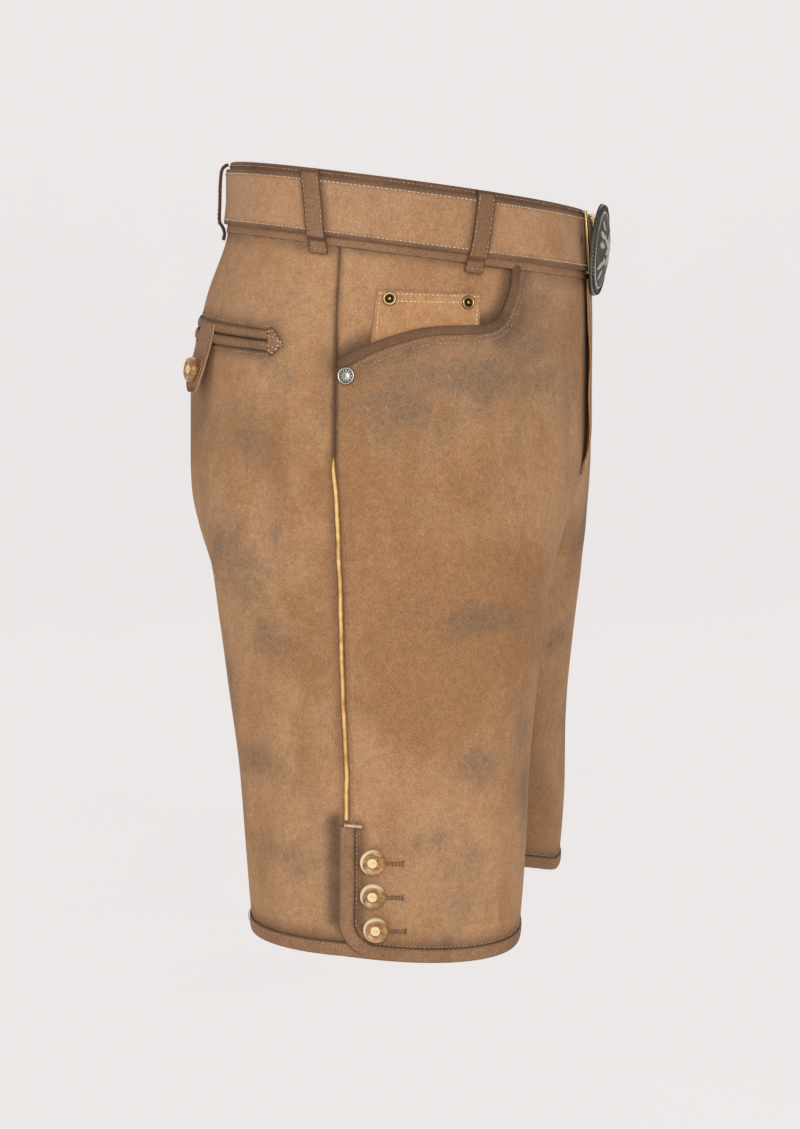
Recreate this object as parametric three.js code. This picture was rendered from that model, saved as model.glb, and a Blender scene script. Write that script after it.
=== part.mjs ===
// Short suede lederhosen with their own belt, filled out as on a wearer and hollow.
//
// Millimetres. +Z is up, -Y is the front, -X is the wearer's right, and the origin is
// the middle of the waist. The cloth is laid out on one surface, the skin. A place on
// it has a side (-1 right, +1 left), a level (height at the side of the body) and a
// distance along the level from the side seam, forwards positive. Every piece is cut
// in those two distances and then moved out from, or in behind, the skin.
import * as THREE from 'three';

const RIGHT = -1;
const LEFT = 1;
const SIDES = [['right', RIGHT], ['left', LEFT]];

const SUEDE = 1.8; // wall of one layer
const SEAM_GAP = 0.3; // between pieces sewn edge to edge
const LAP_GAP = 0.3; // between small pieces that lie on each other
const PANEL_GAP = 0.6; // between a faceted panel and what lies on it or beneath it
const BAND = 1.1; // thinned leather of bindings, welts and patches
const HEM_LEVEL = -520;
const WAIST_SLOPE = Math.tan(THREE.MathUtils.degToRad(7.5)); // the waist dips to the front
const SLOPE_ENDS = -150; // level from which the sections are level
const ROUNDNESS = 2.25; // 2 is an ellipse, more is squarer
// Towards the hem the front hangs lower, and the inside of each leg rides up.
const HEM_TILT = { from: -300, frontDrop: 6, insideRise: 14, insideFrom: 100, insideTo: 30 };

const WAISTBAND = { top: 24, bottom: -24, outer: 1.2, inner: -2.1 };
const BELT = { top: 19, bottom: -21, inner: 1.5, outer: 4.8 };
const LOOP = { width: 13, thickness: 2 };

// The body's section at each level, for one half of the garment. legCentre, side and
// inner are across from the middle: the centre of the leg's oval, the garment's
// outside, and the oval's reach inwards. Where inner reaches legCentre the two halves
// part, which is the crotch. front, back, middle and seam are y.
const SECTION_COLUMNS = ['level', 'legCentre', 'side', 'inner', 'front', 'back', 'middle', 'seam'];
const SECTIONS = [
  [24, 0, 163, 163, -139, 120, 0, 4],
  [0, 0, 164, 164, -141, 120, 0, 4],
  [-26, 0, 165, 165, -143, 123, 0, 5],
  [-75, 0, 172, 172, -144, 142, 0, 6],
  [-125, 0, 178, 178, -144, 154, 0, 6],
  [-150, 5, 180, 174, -144, 153, 1, 6],
  [-175, 20, 181, 161, -143, 150, 2, 6],
  [-200, 42, 182, 141, -140, 144, 3, 4],
  [-225, 64, 183, 121, -136, 134, 4, 3],
  [-245, 80, 184, 104, -133, 125, 4, 2],
  [-262, 92, 184, 92, -130, 118, 3, 1],
  [-290, 98, 185, 91, -127, 112, 0, 0],
  [-340, 101, 185, 90, -122, 104, -4, -1],
  [-400, 102, 184, 87, -117, 96, -7, -3],
  [-460, 104, 184, 85, -115, 91, -8, -3],
  [-520, 106, 184, 83, -111, 86, -9, -2],
].reverse().map((row) => Object.fromEntries(SECTION_COLUMNS.map((name, i) => [name, row[i]])));

// The front pocket's mouth, from the side seam forwards and up to the waistband.
const POCKET_MOUTH = [
  [0, -105], [23, -92], [41, -84], [58, -78], [77, -74.5], [97, -72.5],
  [110, -69.5], [118, -62], [123, -49], [126, -37], [127, -24.5],
].map(([along, level]) => ({ along, level }));
const POCKET_BINDING = 6; // width
const FACING_UNDERLAP = 14; // how far the facing runs on beneath the front

const COIN_PATCH = { back: 27, front: 101, backTop: -53, frontTop: -47, backShift: -3 };
const EYELETS = [{ along: 36, level: -58.5 }, { along: 91, level: -55 }];
const EYELET_RADIUS = 4.8;
const SIDE_RIVET = { along: 8, level: -114, radius: 6 };

const FLY = { clear: 1.1, free: -20, sewn: 22, bottom: -192, curveFrom: -150, standOff: 3.2, topStandOff: 1.6 };
const PIPING = { top: -170, bottom: -422, width: 3, height: 1.9 };

// The side vent: the front laps over the back, and its lower corner is rounded.
const VENT = { top: -427, overlap: 5, corner: { level: -494, along: 21, radius: 21 }, width: 11 };
const HEM_BAND = 10; // height of the hem binding
const BUTTON = { radius: 9, height: 4.6 };
const VENT_BUTTONS = [{ along: 19, level: -450 }, { along: 19, level: -474 }, { along: 21.5, level: -498 }];

const BACK_POCKET = { sideEnd: -52, backEnd: -196, level: -86.5, rise: 0.0315, welt: 6.8, point: 13 };
const TAB = { along: -124, width: 26, length: 42, standOff: 7 };

const BUCKLE = { width: 85, height: 68, dome: 7, plate: 2.4, lean: 5, z: -24, rimY: -151 };
const BUCKLE_BAR = { across: 22, width: 3.5, thickness: 2, overhang: 2.6 };

const finish = (color, roughness, metalness = 0) =>
  new THREE.MeshStandardMaterial({ color, roughness, metalness });
const FINISHES = {
  suede: finish(0xa47c5a, 0.9),
  binding: finish(0x77604f, 0.85),
  patch: finish(0xb0855c, 0.9),
  piping: finish(0xd9b070, 0.7),
  horn: finish(0xc79a5b, 0.4),
  brass: finish(0x8f7440, 0.4, 1),
  pewter: finish(0x55554f, 0.45, 1),
};

const garment = new THREE.Group();

function add(name, geometry, material) {
  const mesh = new THREE.Mesh(geometry, FINISHES[material]);
  mesh.name = name;
  garment.add(mesh);
  return mesh;
}

const mix = (a, b, t) => a + (b - a) * t;
// 0 at from and 1 at to, whichever is the larger, with a soft start and end.
function smooth(from, to, value) {
  const t = THREE.MathUtils.clamp((value - from) / (to - from), 0, 1);
  return t * t * (3 - 2 * t);
}
const steps = (count) => Array.from({ length: count + 1 }, (_, i) => i / count);

// --- The skin ---------------------------------------------------------------

// A curve through rows, by one named column over another, that never overshoots.
function curveThrough(rows, from, to) {
  const x = rows.map((row) => row[from]);
  const y = rows.map((row) => row[to]);
  const run = x.slice(1).map((value, i) => value - x[i]);
  const rise = run.map((length, i) => (y[i + 1] - y[i]) / length);
  const slope = y.map((_, i) => {
    if (i === 0) return rise[0];
    if (i === rise.length) return rise[i - 1];
    if (rise[i - 1] * rise[i] <= 0) return 0;
    const before = 2 * run[i] + run[i - 1];
    const after = run[i] + 2 * run[i - 1];
    return (before + after) / (before / rise[i - 1] + after / rise[i]);
  });
  return (value) => {
    let i = 0;
    while (i < run.length - 1 && value > x[i + 1]) i += 1;
    const t = (value - x[i]) / run[i];
    const fall = (1 + 2 * t) * (1 - t) ** 2;
    const lift = t * t * (3 - 2 * t);
    const leave = t * (1 - t) ** 2 * run[i] * slope[i];
    const arrive = t * t * (t - 1) * run[i] * slope[i + 1];
    return fall * y[i] + leave + lift * y[i + 1] + arrive;
  };
}

const sectionCurve = Object.fromEntries(
  SECTION_COLUMNS.slice(1).map((name) => [name, curveThrough(SECTIONS, 'level', name)]));

function slopeAt(level) {
  return WAIST_SLOPE * smooth(SLOPE_ENDS, -25, level);
}

function hemTilt(level, x, y) {
  const low = 1 - smooth(HEM_LEVEL, HEM_TILT.from, level);
  const inside = 1 - smooth(HEM_TILT.insideTo, HEM_TILT.insideFrom, x);
  const forward = Math.max(0, y / SECTIONS[0].front);
  return low * (HEM_TILT.insideRise * inside - HEM_TILT.frontDrop * forward);
}

// One half's section as a measured line from the middle of the front, or the inseam,
// round the side to the middle of the back, or the inseam. x is across from the middle.
const RING_STEPS = 160;
const rings = new Map();
function ringAt(level) {
  if (rings.has(level)) return rings.get(level);
  const size = Object.fromEntries(Object.entries(sectionCurve).map(([name, f]) => [name, f(level)]));
  const outerReach = size.side - size.legCentre;
  const closed = Math.min(1, size.legCentre / size.inner);
  const start = -Math.asin(closed ** (ROUNDNESS / 2));
  const power = 2 / ROUNDNESS;
  const points = steps(RING_STEPS).map((step) => {
    const turn = mix(start, Math.PI - start, step);
    const across = Math.sin(turn);
    const ahead = Math.cos(turn);
    const reach = across < 0 ? size.inner : outerReach;
    const depth = ahead > 0 ? size.middle - size.front : size.back - size.middle;
    const x = size.legCentre + reach * Math.sign(across) * Math.abs(across) ** power;
    const y = size.middle - depth * Math.sign(ahead) * Math.abs(ahead) ** power;
    const height = level + slopeAt(level) * y + hemTilt(level, x, y);
    return new THREE.Vector3(Math.max(0, x), y, height);
  });
  const travelled = [0];
  for (let i = 1; i < points.length; i += 1) {
    travelled.push(travelled[i - 1] + points[i].distanceTo(points[i - 1]));
  }
  const behind = points.findIndex((point, i) => i > 0 && points[i - 1].y < size.seam
    && point.y >= size.seam && point.x > size.legCentre);
  const share = (size.seam - points[behind - 1].y) / (points[behind].y - points[behind - 1].y);
  const seam = mix(travelled[behind - 1], travelled[behind], share);
  const ring = { points, travelled, seam, front: seam, back: seam - travelled[RING_STEPS] };
  rings.set(level, ring);
  return ring;
}

// front is the far end of a level ahead of the side seam, back the one behind it.
function skinPoint(level, along) {
  const ring = ringAt(level);
  const target = THREE.MathUtils.clamp(ring.seam - along, 0, ring.travelled[RING_STEPS]);
  let low = 0;
  let high = RING_STEPS;
  while (high - low > 1) {
    const half = (low + high) >> 1;
    if (ring.travelled[half] > target) high = half;
    else low = half;
  }
  const share = (target - ring.travelled[low]) / (ring.travelled[high] - ring.travelled[low]);
  return ring.points[low].clone().lerp(ring.points[high], share);
}

const PROBE = 2; // distance over which the skin's direction is taken
function skinNormal(level, along) {
  const inside = (other) => along <= ringAt(other).front && along >= ringAt(other).back;
  const above = inside(level + PROBE) ? level + PROBE : level;
  const below = inside(level - PROBE) ? level - PROBE : level;
  const up = skinPoint(above, along).sub(skinPoint(below, along));
  const ring = ringAt(level);
  const ahead = skinPoint(level, Math.min(ring.front, along + PROBE))
    .sub(skinPoint(level, Math.max(ring.back, along - PROBE)));
  return up.cross(ahead).normalize();
}

// The point of a piece at a place on the skin, moved out by a distance.
function place(side, level, along, out, halfGap = SEAM_GAP / 2) {
  const point = skinPoint(level, along).addScaledVector(skinNormal(level, along), out);
  point.x = (point.x + halfGap) * side;
  return point;
}

// A place on the front or the back near the middle line, across it from side to side.
function placeAtCentreFront(level, across, out) {
  const side = across < 0 ? RIGHT : LEFT;
  return place(side, level, ringAt(level).front - Math.abs(across), out, 0);
}

// A place round the whole waist: -1 is the middle of the front on the right, 0 the
// middle of the back, and 1 the middle of the front on the left.
function placeRoundWaist(level, turn, out) {
  const ring = ringAt(level);
  const side = turn < 0 ? RIGHT : LEFT;
  return place(side, level, mix(ring.back, ring.front, Math.abs(turn)), out, 0);
}

// --- Solids -----------------------------------------------------------------

// A closed wall between two grids of points, outer and inner, with its four edges.
function wall(outer, inner) {
  const rows = outer.length;
  const columns = outer[0].length;
  const position = [...outer.flat(), ...inner.flat()].flatMap((p) => [p.x, p.y, p.z]);
  const front = (r, c) => r * columns + c;
  const back = (r, c) => rows * columns + r * columns + c;
  const index = [];
  const quad = (a, b, c, d) => index.push(a, b, c, a, c, d);
  for (let r = 0; r < rows - 1; r += 1) {
    for (let c = 0; c < columns - 1; c += 1) {
      quad(front(r, c), front(r, c + 1), front(r + 1, c + 1), front(r + 1, c));
      quad(back(r, c), back(r + 1, c), back(r + 1, c + 1), back(r, c + 1));
    }
  }
  for (let c = 0; c < columns - 1; c += 1) {
    quad(front(0, c), back(0, c), back(0, c + 1), front(0, c + 1));
    quad(front(rows - 1, c + 1), back(rows - 1, c + 1), back(rows - 1, c), front(rows - 1, c));
  }
  for (let r = 0; r < rows - 1; r += 1) {
    quad(front(r + 1, 0), back(r + 1, 0), back(r, 0), front(r, 0));
    quad(front(r, columns - 1), back(r, columns - 1), back(r + 1, columns - 1), front(r + 1, columns - 1));
  }
  if (enclosedVolume(position, index) < 0) index.reverse();
  const geometry = new THREE.BufferGeometry();
  geometry.setAttribute('position', new THREE.Float32BufferAttribute(position, 3));
  geometry.setIndex(index);
  geometry.computeVertexNormals();
  return geometry;
}

function enclosedVolume(position, index) {
  const corner = (i) => new THREE.Vector3().fromArray(position, index[i] * 3);
  let volume = 0;
  for (let i = 0; i < index.length; i += 3) {
    volume += corner(i).dot(corner(i + 1).cross(corner(i + 2))) / 6;
  }
  return volume;
}

// A wall on the skin. spots is a grid of [level, along], outer and inner how far its
// two faces stand out, as numbers or as functions of the spot.
function skinWall(side, spots, outer, inner, halfGap) {
  const at = (out) => spots.map((row) => row.map(([level, along]) => {
    const distance = typeof out === 'function' ? out(level, along) : out;
    return place(side, level, along, distance, halfGap);
  }));
  return wall(at(outer), at(inner));
}

// A strip on the skin that follows a path of {level, along}, between two distances to
// its sides. Its own direction turns with the path.
function stripSpots(path, from, to, widthSteps = 1) {
  const spots = path.map((spot, i) => {
    const before = path[Math.max(0, i - 1)];
    const after = path[Math.min(path.length - 1, i + 1)];
    const run = Math.hypot(after.along - before.along, after.level - before.level);
    const normal = {
      along: -(after.level - before.level) / run,
      level: (after.along - before.along) / run,
    };
    const start = typeof from === 'function' ? from(i / (path.length - 1)) : from;
    const end = typeof to === 'function' ? to(i / (path.length - 1)) : to;
    return steps(widthSteps).map((t) => {
      const offset = mix(start, end, t);
      return [spot.level + normal.level * offset, spot.along + normal.along * offset];
    });
  });
  return spots;
}

// A turned piece, its axis along the skin's normal, standing out from the skin.
function addTurned(name, side, spot, out, profile, material, segments = 12) {
  const geometry = new THREE.LatheGeometry(
    profile.map(([radius, height]) => new THREE.Vector2(radius, height)), segments);
  const mesh = add(name, geometry, material);
  const normal = skinNormal(spot.level, spot.along);
  normal.x *= side;
  mesh.position.copy(place(side, spot.level, spot.along, out));
  mesh.quaternion.setFromUnitVectors(new THREE.Vector3(0, 1, 0), normal);
  return mesh;
}

// --- Panels -----------------------------------------------------------------

const mouthLevel = curveThrough(POCKET_MOUTH, 'along', 'level');
const mouthEnd = POCKET_MOUTH[POCKET_MOUTH.length - 1].along;
const PANEL_LEVELS = [-150, -175, -195, -212, -228, -242, -253, -262, -275,
  -300, -340, -380, -427, -460, -490];
const UPPER_ROWS = 3; // rows between a panel's top edge and the first panel level
const LOWER_LEVELS = [-500, -510, HEM_LEVEL]; // rows through the vent's rounded corner

// Where a level crosses an edge that runs down the vent and turns forwards along the
// rounded corner, from the side seam. overlap widens the round over the back panel.
function ventEdge(level, overlap) {
  const { corner } = VENT;
  const below = Math.max(0, corner.level - level);
  const radius = corner.radius + overlap;
  return corner.along - Math.sqrt(Math.max(0, radius * radius - below * below));
}

function panelSpots(columns, topLevel, alongAt) {
  const upper = steps(UPPER_ROWS).slice(0, -1);
  const rows = upper.map((t) => columns.map((u) => {
    const level = mix(topLevel(u), PANEL_LEVELS[0], t);
    return [level, alongAt(u, level)];
  }));
  for (const level of [...PANEL_LEVELS, ...LOWER_LEVELS]) {
    rows.push(columns.map((u) => [level, alongAt(u, level)]));
  }
  return rows;
}

const PANEL_TOP = WAISTBAND.bottom - SEAM_GAP;
const MOUTH_STATIONS = [0, 14, 30, 48, 66, 84, 100, 110, 118, 123, 126, mouthEnd];
const FRONT_SHARES = [0.02, 0.2, 0.36, 0.5, 0.64, 0.76, 0.88, 1];

const frontColumns = [...MOUTH_STATIONS, ...FRONT_SHARES.map((share) => mouthEnd + share)];
function frontAlong(u, level) {
  const edge = SEAM_GAP / 2 + ventEdge(level, 0);
  const far = ringAt(level).front - SEAM_GAP / 2;
  if (u <= mouthEnd) return edge + u * (mouthEnd - edge) / mouthEnd;
  return mix(mouthEnd, far, u - mouthEnd);
}

function frontPanel(side) {
  const topLevel = (u) => (u < mouthEnd ? mouthLevel(u) : PANEL_TOP);
  return skinWall(side, panelSpots(frontColumns, topLevel, frontAlong), 0, -SUEDE);
}

const backColumns = steps(14);
function backAlong(u, level) {
  return mix(ventEdge(level, 0) - SEAM_GAP / 2, ringAt(level).back + SEAM_GAP / 2, u);
}

function backPanel(side) {
  return skinWall(side, panelSpots(backColumns, () => PANEL_TOP, backAlong), 0, -SUEDE);
}

// The facing fills the pocket's mouth. It lies a layer deeper than the front where it
// runs beneath it, and rises to the skin towards the waistband and the side seam.
const FACING_DEPTH = SUEDE + PANEL_GAP;
function facingDepth(level, along) {
  const clear = Math.min(level - mouthLevel(Math.min(along, 110)), (118 - along) * 0.8);
  return -mix(FACING_DEPTH, LAP_GAP, smooth(6, 34, clear));
}

function pocketFacing(side) {
  const far = mouthEnd + FACING_UNDERLAP;
  const bottom = (along) => mouthLevel(Math.min(along, 110)) - FACING_UNDERLAP;
  const spots = steps(5).map((t) => steps(10).map((u) => {
    const along = mix(SEAM_GAP / 2, far, u);
    return [mix(PANEL_TOP, bottom(along), t), along];
  }));
  return skinWall(side, spots, facingDepth, (level, along) => facingDepth(level, along) - SUEDE);
}

function pocketBinding(side) {
  const path = POCKET_MOUTH.map((spot) => ({ ...spot }));
  path[0].along = 1;
  path[path.length - 1].level = PANEL_TOP;
  const spots = stripSpots(path, -0.3, -POCKET_BINDING);
  spots[0].forEach((spot) => { spot[1] = 1; });
  spots[spots.length - 1].forEach((spot) => { spot[0] = PANEL_TOP; });
  return skinWall(side, spots, PANEL_GAP + BAND, PANEL_GAP);
}

function coinPatch(side) {
  const spots = steps(3).map((t) => steps(5).map((u) => {
    const along = mix(COIN_PATCH.back, COIN_PATCH.front, u) + COIN_PATCH.backShift * t * (1 - u);
    const top = mix(COIN_PATCH.backTop, COIN_PATCH.frontTop, u);
    return [mix(top, mouthLevel(along) + 0.5, t), along];
  }));
  const under = (level, along) => facingDepth(level, along) + PANEL_GAP;
  return skinWall(side, spots, (level, along) => under(level, along) + BAND, under);
}

function flyLap() {
  const rows = steps(7).map((t) => {
    const level = mix(PANEL_TOP, FLY.bottom, t);
    const closing = smooth(FLY.curveFrom, FLY.bottom, level);
    return { level, free: mix(FLY.free, -4, closing ** 2), sewn: mix(FLY.sewn, 2, closing ** 2) };
  });
  const at = (face) => rows.map(({ level, free, sewn }) => steps(6).map((u) => {
    const across = mix(free, sewn, u);
    const standOff = mix(FLY.standOff, FLY.topStandOff, smooth(-85, -50, level));
    const lifted = standOff * smooth(0, 1, across / FLY.free) ** 1.5;
    const thickness = mix(SUEDE, 0.8, smooth(0.55, 1, u));
    return placeAtCentreFront(level, across, FLY.clear + lifted + face * thickness);
  }));
  return wall(at(1), at(0));
}

// --- Waist ------------------------------------------------------------------

// Stations round the waist, the same for band and belt, with their own two ends.
function waistTurns(end) {
  const turns = steps(40).map((t) => mix(-1, 1, t));
  turns[0] = -end;
  turns[turns.length - 1] = end;
  return turns;
}

function waistband() {
  const turns = waistTurns(0.9995);
  const levels = [WAISTBAND.top, 0, WAISTBAND.bottom];
  const at = (out) => levels.map((level) => turns.map((turn) => placeRoundWaist(level, turn, out)));
  return wall(at(WAISTBAND.outer), at(WAISTBAND.inner));
}

function belt() {
  const turns = waistTurns(0.985);
  const levels = [BELT.top, 0, BELT.bottom];
  const at = (out) => levels.map((level) => turns.map((turn) => placeRoundWaist(level, turn, out)));
  return wall(at(BELT.outer), at(BELT.inner));
}

// A belt loop: along its length, the level and how far its inner face stands out.
const LOOP_LINE = [
  [25, 1.6], [22, 1.9], [20, 5.1], [0, 5.2], [-22, 5.1], [-24.5, 2], [-33, 1.6],
];
// along is from the side seam. The loops beside the middle of the back stand off the belt.
const LOOPS = [
  { name: 'front', along: 98, standOff: 0, lean: 0.12 },
  { name: 'side', along: -20, standOff: 0, lean: -0.12 },
  { name: 'back', along: -148, standOff: 2.4, lean: 0 },
];

function beltLoop(side, { along, standOff, lean }) {
  const at = (face) => LOOP_LINE.map(([level, out]) => steps(2).map((u) => {
    const slack = standOff * Math.max(0, Math.sin(Math.PI * smooth(25, -33, level)));
    const centre = along - lean * (10 - level);
    const spot = centre + (u - 0.5) * LOOP.width;
    return place(side, level, spot, out + slack + face * LOOP.thickness);
  }));
  return wall(at(1), at(0));
}

// --- Edges, fastenings and pockets ------------------------------------------

function piping(side) {
  const path = steps(12).map((t) => ({ level: mix(PIPING.top, PIPING.bottom, t), along: 0 }));
  const reach = (t) => (PIPING.width / 2) * Math.min(1, 0.25 + 8 * t);
  const spots = stripSpots(path, (t) => -reach(t), reach, 2);
  const crest = (level, along) => LAP_GAP + mix(0.5, PIPING.height, 1 - (along / (PIPING.width / 2)) ** 2);
  return skinWall(side, spots, crest, LAP_GAP);
}

// The front's binding: down the vent, round its lower corner and along the hem.
const roundLevels = steps(6).map((t) => {
  const turn = (t * Math.PI) / 2;
  return VENT.corner.level - (VENT.corner.radius + VENT.overlap) * Math.sin(turn);
});

function ventPath() {
  const { corner, overlap } = VENT;
  const down = [VENT.top, -450, -475].map((level) => ({ level, along: -overlap }));
  const round = roundLevels.map((level) => ({ level, along: ventEdge(level, overlap) }));
  const hem = frontColumns.map((u) => ({ level: HEM_LEVEL, along: frontAlong(u, HEM_LEVEL) }))
    .filter(({ along }) => along > corner.along + 4);
  return [...down, ...round, ...hem];
}

function ventBand(side) {
  const width = (t) => mix(VENT.width, HEM_BAND, smooth(0.25, 0.45, t));
  return skinWall(side, stripSpots(ventPath(), 0, width), PANEL_GAP + BAND, PANEL_GAP);
}

function backHemBand(side) {
  const top = HEM_LEVEL + HEM_BAND;
  const levels = [top, ...roundLevels.filter((level) => level < top)];
  const spots = levels.map((level) => backColumns.map((u, i) => {
    const along = i === 0 ? ventEdge(level, VENT.overlap) - LAP_GAP : backAlong(u, level);
    return [level, along];
  }));
  return skinWall(side, spots, PANEL_GAP + BAND, PANEL_GAP);
}

const BUTTON_PROFILE = [
  [0, 0], [BUTTON.radius - 2, 0], [BUTTON.radius, 1.4], [BUTTON.radius - 0.6, 3.4],
  [BUTTON.radius - 2, BUTTON.height], [BUTTON.radius - 4.2, 3.4], [3.4, 3], [3, 4.2], [0, 4.2],
];
const RIVET_PROFILE = [[0, 0], [SIDE_RIVET.radius, 0], [SIDE_RIVET.radius - 0.4, 1.2], [4.2, 1.9], [0, 2]];
const EYELET_PROFILE = [[0, 0], [EYELET_RADIUS, 0], [4.4, 0.9], [3.2, 1.2], [2.4, 0.5], [1.1, 1.1], [0, 1.3]];

// The back pocket's level at a distance from its side end: it rises to the back.
const pocketLevel = (along) => BACK_POCKET.level + BACK_POCKET.rise * (BACK_POCKET.sideEnd - along);

function welt(side, row) {
  const spots = [0, 1].map((edge) => steps(8).map((u) => {
    const along = mix(BACK_POCKET.sideEnd, BACK_POCKET.backEnd, u);
    const level = pocketLevel(along) - row * (BACK_POCKET.welt + LAP_GAP) - edge * BACK_POCKET.welt;
    return [level, along];
  }));
  return skinWall(side, spots, LAP_GAP + BAND, LAP_GAP);
}

// The stitched-down leaf of leather that closes the pocket at one end.
function pocketPoint(side, end, direction) {
  const deep = 2 * BACK_POCKET.welt + LAP_GAP;
  const spots = steps(4).map((t) => [0, 1].map((edge) => {
    const along = end + direction * (LAP_GAP + BACK_POCKET.point * t);
    const narrow = 1 - 0.85 * t ** 1.6;
    const centre = pocketLevel(end) - deep / 2 - 2 * t;
    return [centre + (0.5 - edge) * (deep + 5) * narrow, along];
  }));
  return skinWall(side, spots, LAP_GAP + BAND * 0.8, LAP_GAP);
}

// The tab hangs from the upper welt, free of the panel towards its pointed end.
const tabStandOff = (t) => LAP_GAP + BAND + LAP_GAP + TAB.standOff * smooth(0, 1, t) ** 1.2;
const tabLevel = (t) => pocketLevel(TAB.along) - 2.5 - TAB.length * t;
function pocketTab(side) {
  const rows = [0, 0.2, 0.4, 0.6, 0.75, 0.88, 0.96, 1];
  const halfWidth = (t) => (TAB.width / 2) * (t < 0.6 ? 1 : Math.sqrt(1 - ((t - 0.6) / 0.44) ** 2));
  const at = (face) => rows.map((t) => steps(3).map((u) => {
    const along = TAB.along + (2 * u - 1) * halfWidth(t);
    return place(side, tabLevel(t), along, tabStandOff(t) + face * SUEDE);
  }));
  return wall(at(1), at(0));
}

// The oval plate: a dished shell with a raised border, turned and then widened.
function bucklePlate() {
  const half = BUCKLE.height / 2;
  const dome = (r) => BUCKLE.dome * (1 - (r / half) ** 2);
  const back = [0, 12, 24].map((r) => [r, dome(r) - 1]);
  const rim = [[half - 1, 0], [half, BUCKLE.plate / 2]];
  const border = [half - 1, half - 4].map((r) => [r, dome(r) + 2.6]);
  const field = [half - 5, 24, 16, 8, 0].map((r) => [r, dome(r) + 1.4]);
  const profile = [...back, ...rim, ...border, ...field];
  const geometry = new THREE.LatheGeometry(profile.map(([r, h]) => new THREE.Vector2(r, h)), 32);
  geometry.rotateX(Math.PI);
  geometry.scale(BUCKLE.width / BUCKLE.height, 1, 1);
  const mesh = add('buckle_plate', geometry, 'pewter');
  mesh.rotation.x = THREE.MathUtils.degToRad(BUCKLE.lean);
  mesh.position.set(0, BUCKLE.rimY, BUCKLE.z);
}

// A bar behind the plate that hooks over the belt's two edges.
function buckleBar(side) {
  const { across, width, thickness, overhang } = BUCKLE_BAR;
  const face = BELT.outer + LAP_GAP;
  const line = [
    [BELT.top + LAP_GAP, 2.2, BELT.top + overhang, 2.2],
    [BELT.top + LAP_GAP, face, BELT.top + overhang, face + thickness],
    [BELT.bottom - LAP_GAP, face, BELT.bottom - overhang, face + thickness],
    [BELT.bottom - LAP_GAP, 2.2, BELT.bottom - overhang, 2.2],
  ];
  const at = (pick) => line.map((row) => [-0.5, 0.5].map((u) => {
    const [level, out] = pick(row);
    return placeAtCentreFront(level, side * (across + u * width), out);
  }));
  return wall(at((row) => [row[2], row[3]]), at((row) => [row[0], row[1]]));
}

// --- The garment ------------------------------------------------------------

add('waistband', waistband(), 'suede');
add('belt', belt(), 'suede');
add('fly_lap', flyLap(), 'suede');
bucklePlate();

for (const [sideName, side] of SIDES) {
  add(`front_panel_${sideName}`, frontPanel(side), 'suede');
  add(`back_panel_${sideName}`, backPanel(side), 'suede');
  add(`pocket_facing_${sideName}`, pocketFacing(side), 'suede');
  add(`pocket_binding_${sideName}`, pocketBinding(side), 'binding');
  for (const loop of LOOPS) add(`belt_loop_${loop.name}_${sideName}`, beltLoop(side, loop), 'binding');
  add(`side_piping_${sideName}`, piping(side), 'piping');
  add(`vent_and_hem_band_${sideName}`, ventBand(side), 'binding');
  add(`back_hem_band_${sideName}`, backHemBand(side), 'binding');
  add(`welt_upper_${sideName}`, welt(side, 0), 'binding');
  add(`welt_lower_${sideName}`, welt(side, 1), 'binding');
  add(`pocket_point_side_${sideName}`, pocketPoint(side, BACK_POCKET.sideEnd, 1), 'binding');
  add(`pocket_point_back_${sideName}`, pocketPoint(side, BACK_POCKET.backEnd, -1), 'binding');
  add(`pocket_tab_${sideName}`, pocketTab(side), 'binding');
  add(`buckle_bar_${sideName}`, buckleBar(side), 'brass');
  VENT_BUTTONS.forEach((spot, i) => {
    addTurned(`vent_button_${i + 1}_${sideName}`, side, spot, PANEL_GAP + BAND + LAP_GAP, BUTTON_PROFILE, 'horn');
  });
  const tabSpot = { level: tabLevel(0.68), along: TAB.along };
  addTurned(`tab_button_${sideName}`, side, tabSpot, tabStandOff(0.74) + SUEDE + PANEL_GAP, BUTTON_PROFILE, 'horn');
  addTurned(`side_rivet_${sideName}`, side, SIDE_RIVET, PANEL_GAP + BAND + LAP_GAP, RIVET_PROFILE, 'pewter');
}

add('coin_patch', coinPatch(RIGHT), 'patch');
EYELETS.forEach((spot, i) => {
  const out = facingDepth(spot.level, spot.along) + PANEL_GAP + BAND + LAP_GAP;
  addTurned(`coin_patch_eyelet_${i + 1}`, RIGHT, spot, out, EYELET_PROFILE, 'brass');
});

export default garment;
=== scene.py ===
# %% [markdown]
# # Short suede lederhosen
#
# This notebook finishes a pair of short lederhosen in worn suede. The garment's
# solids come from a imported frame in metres: +Z is up, -Y is the wearer's front and
# -X is the wearer's right. Each step below says what a piece is on the real garment,
# how it could be made, and why it is made the way it is.

import math

import bmesh
import bpy
import numpy as np
from mathutils import Matrix, Vector


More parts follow.
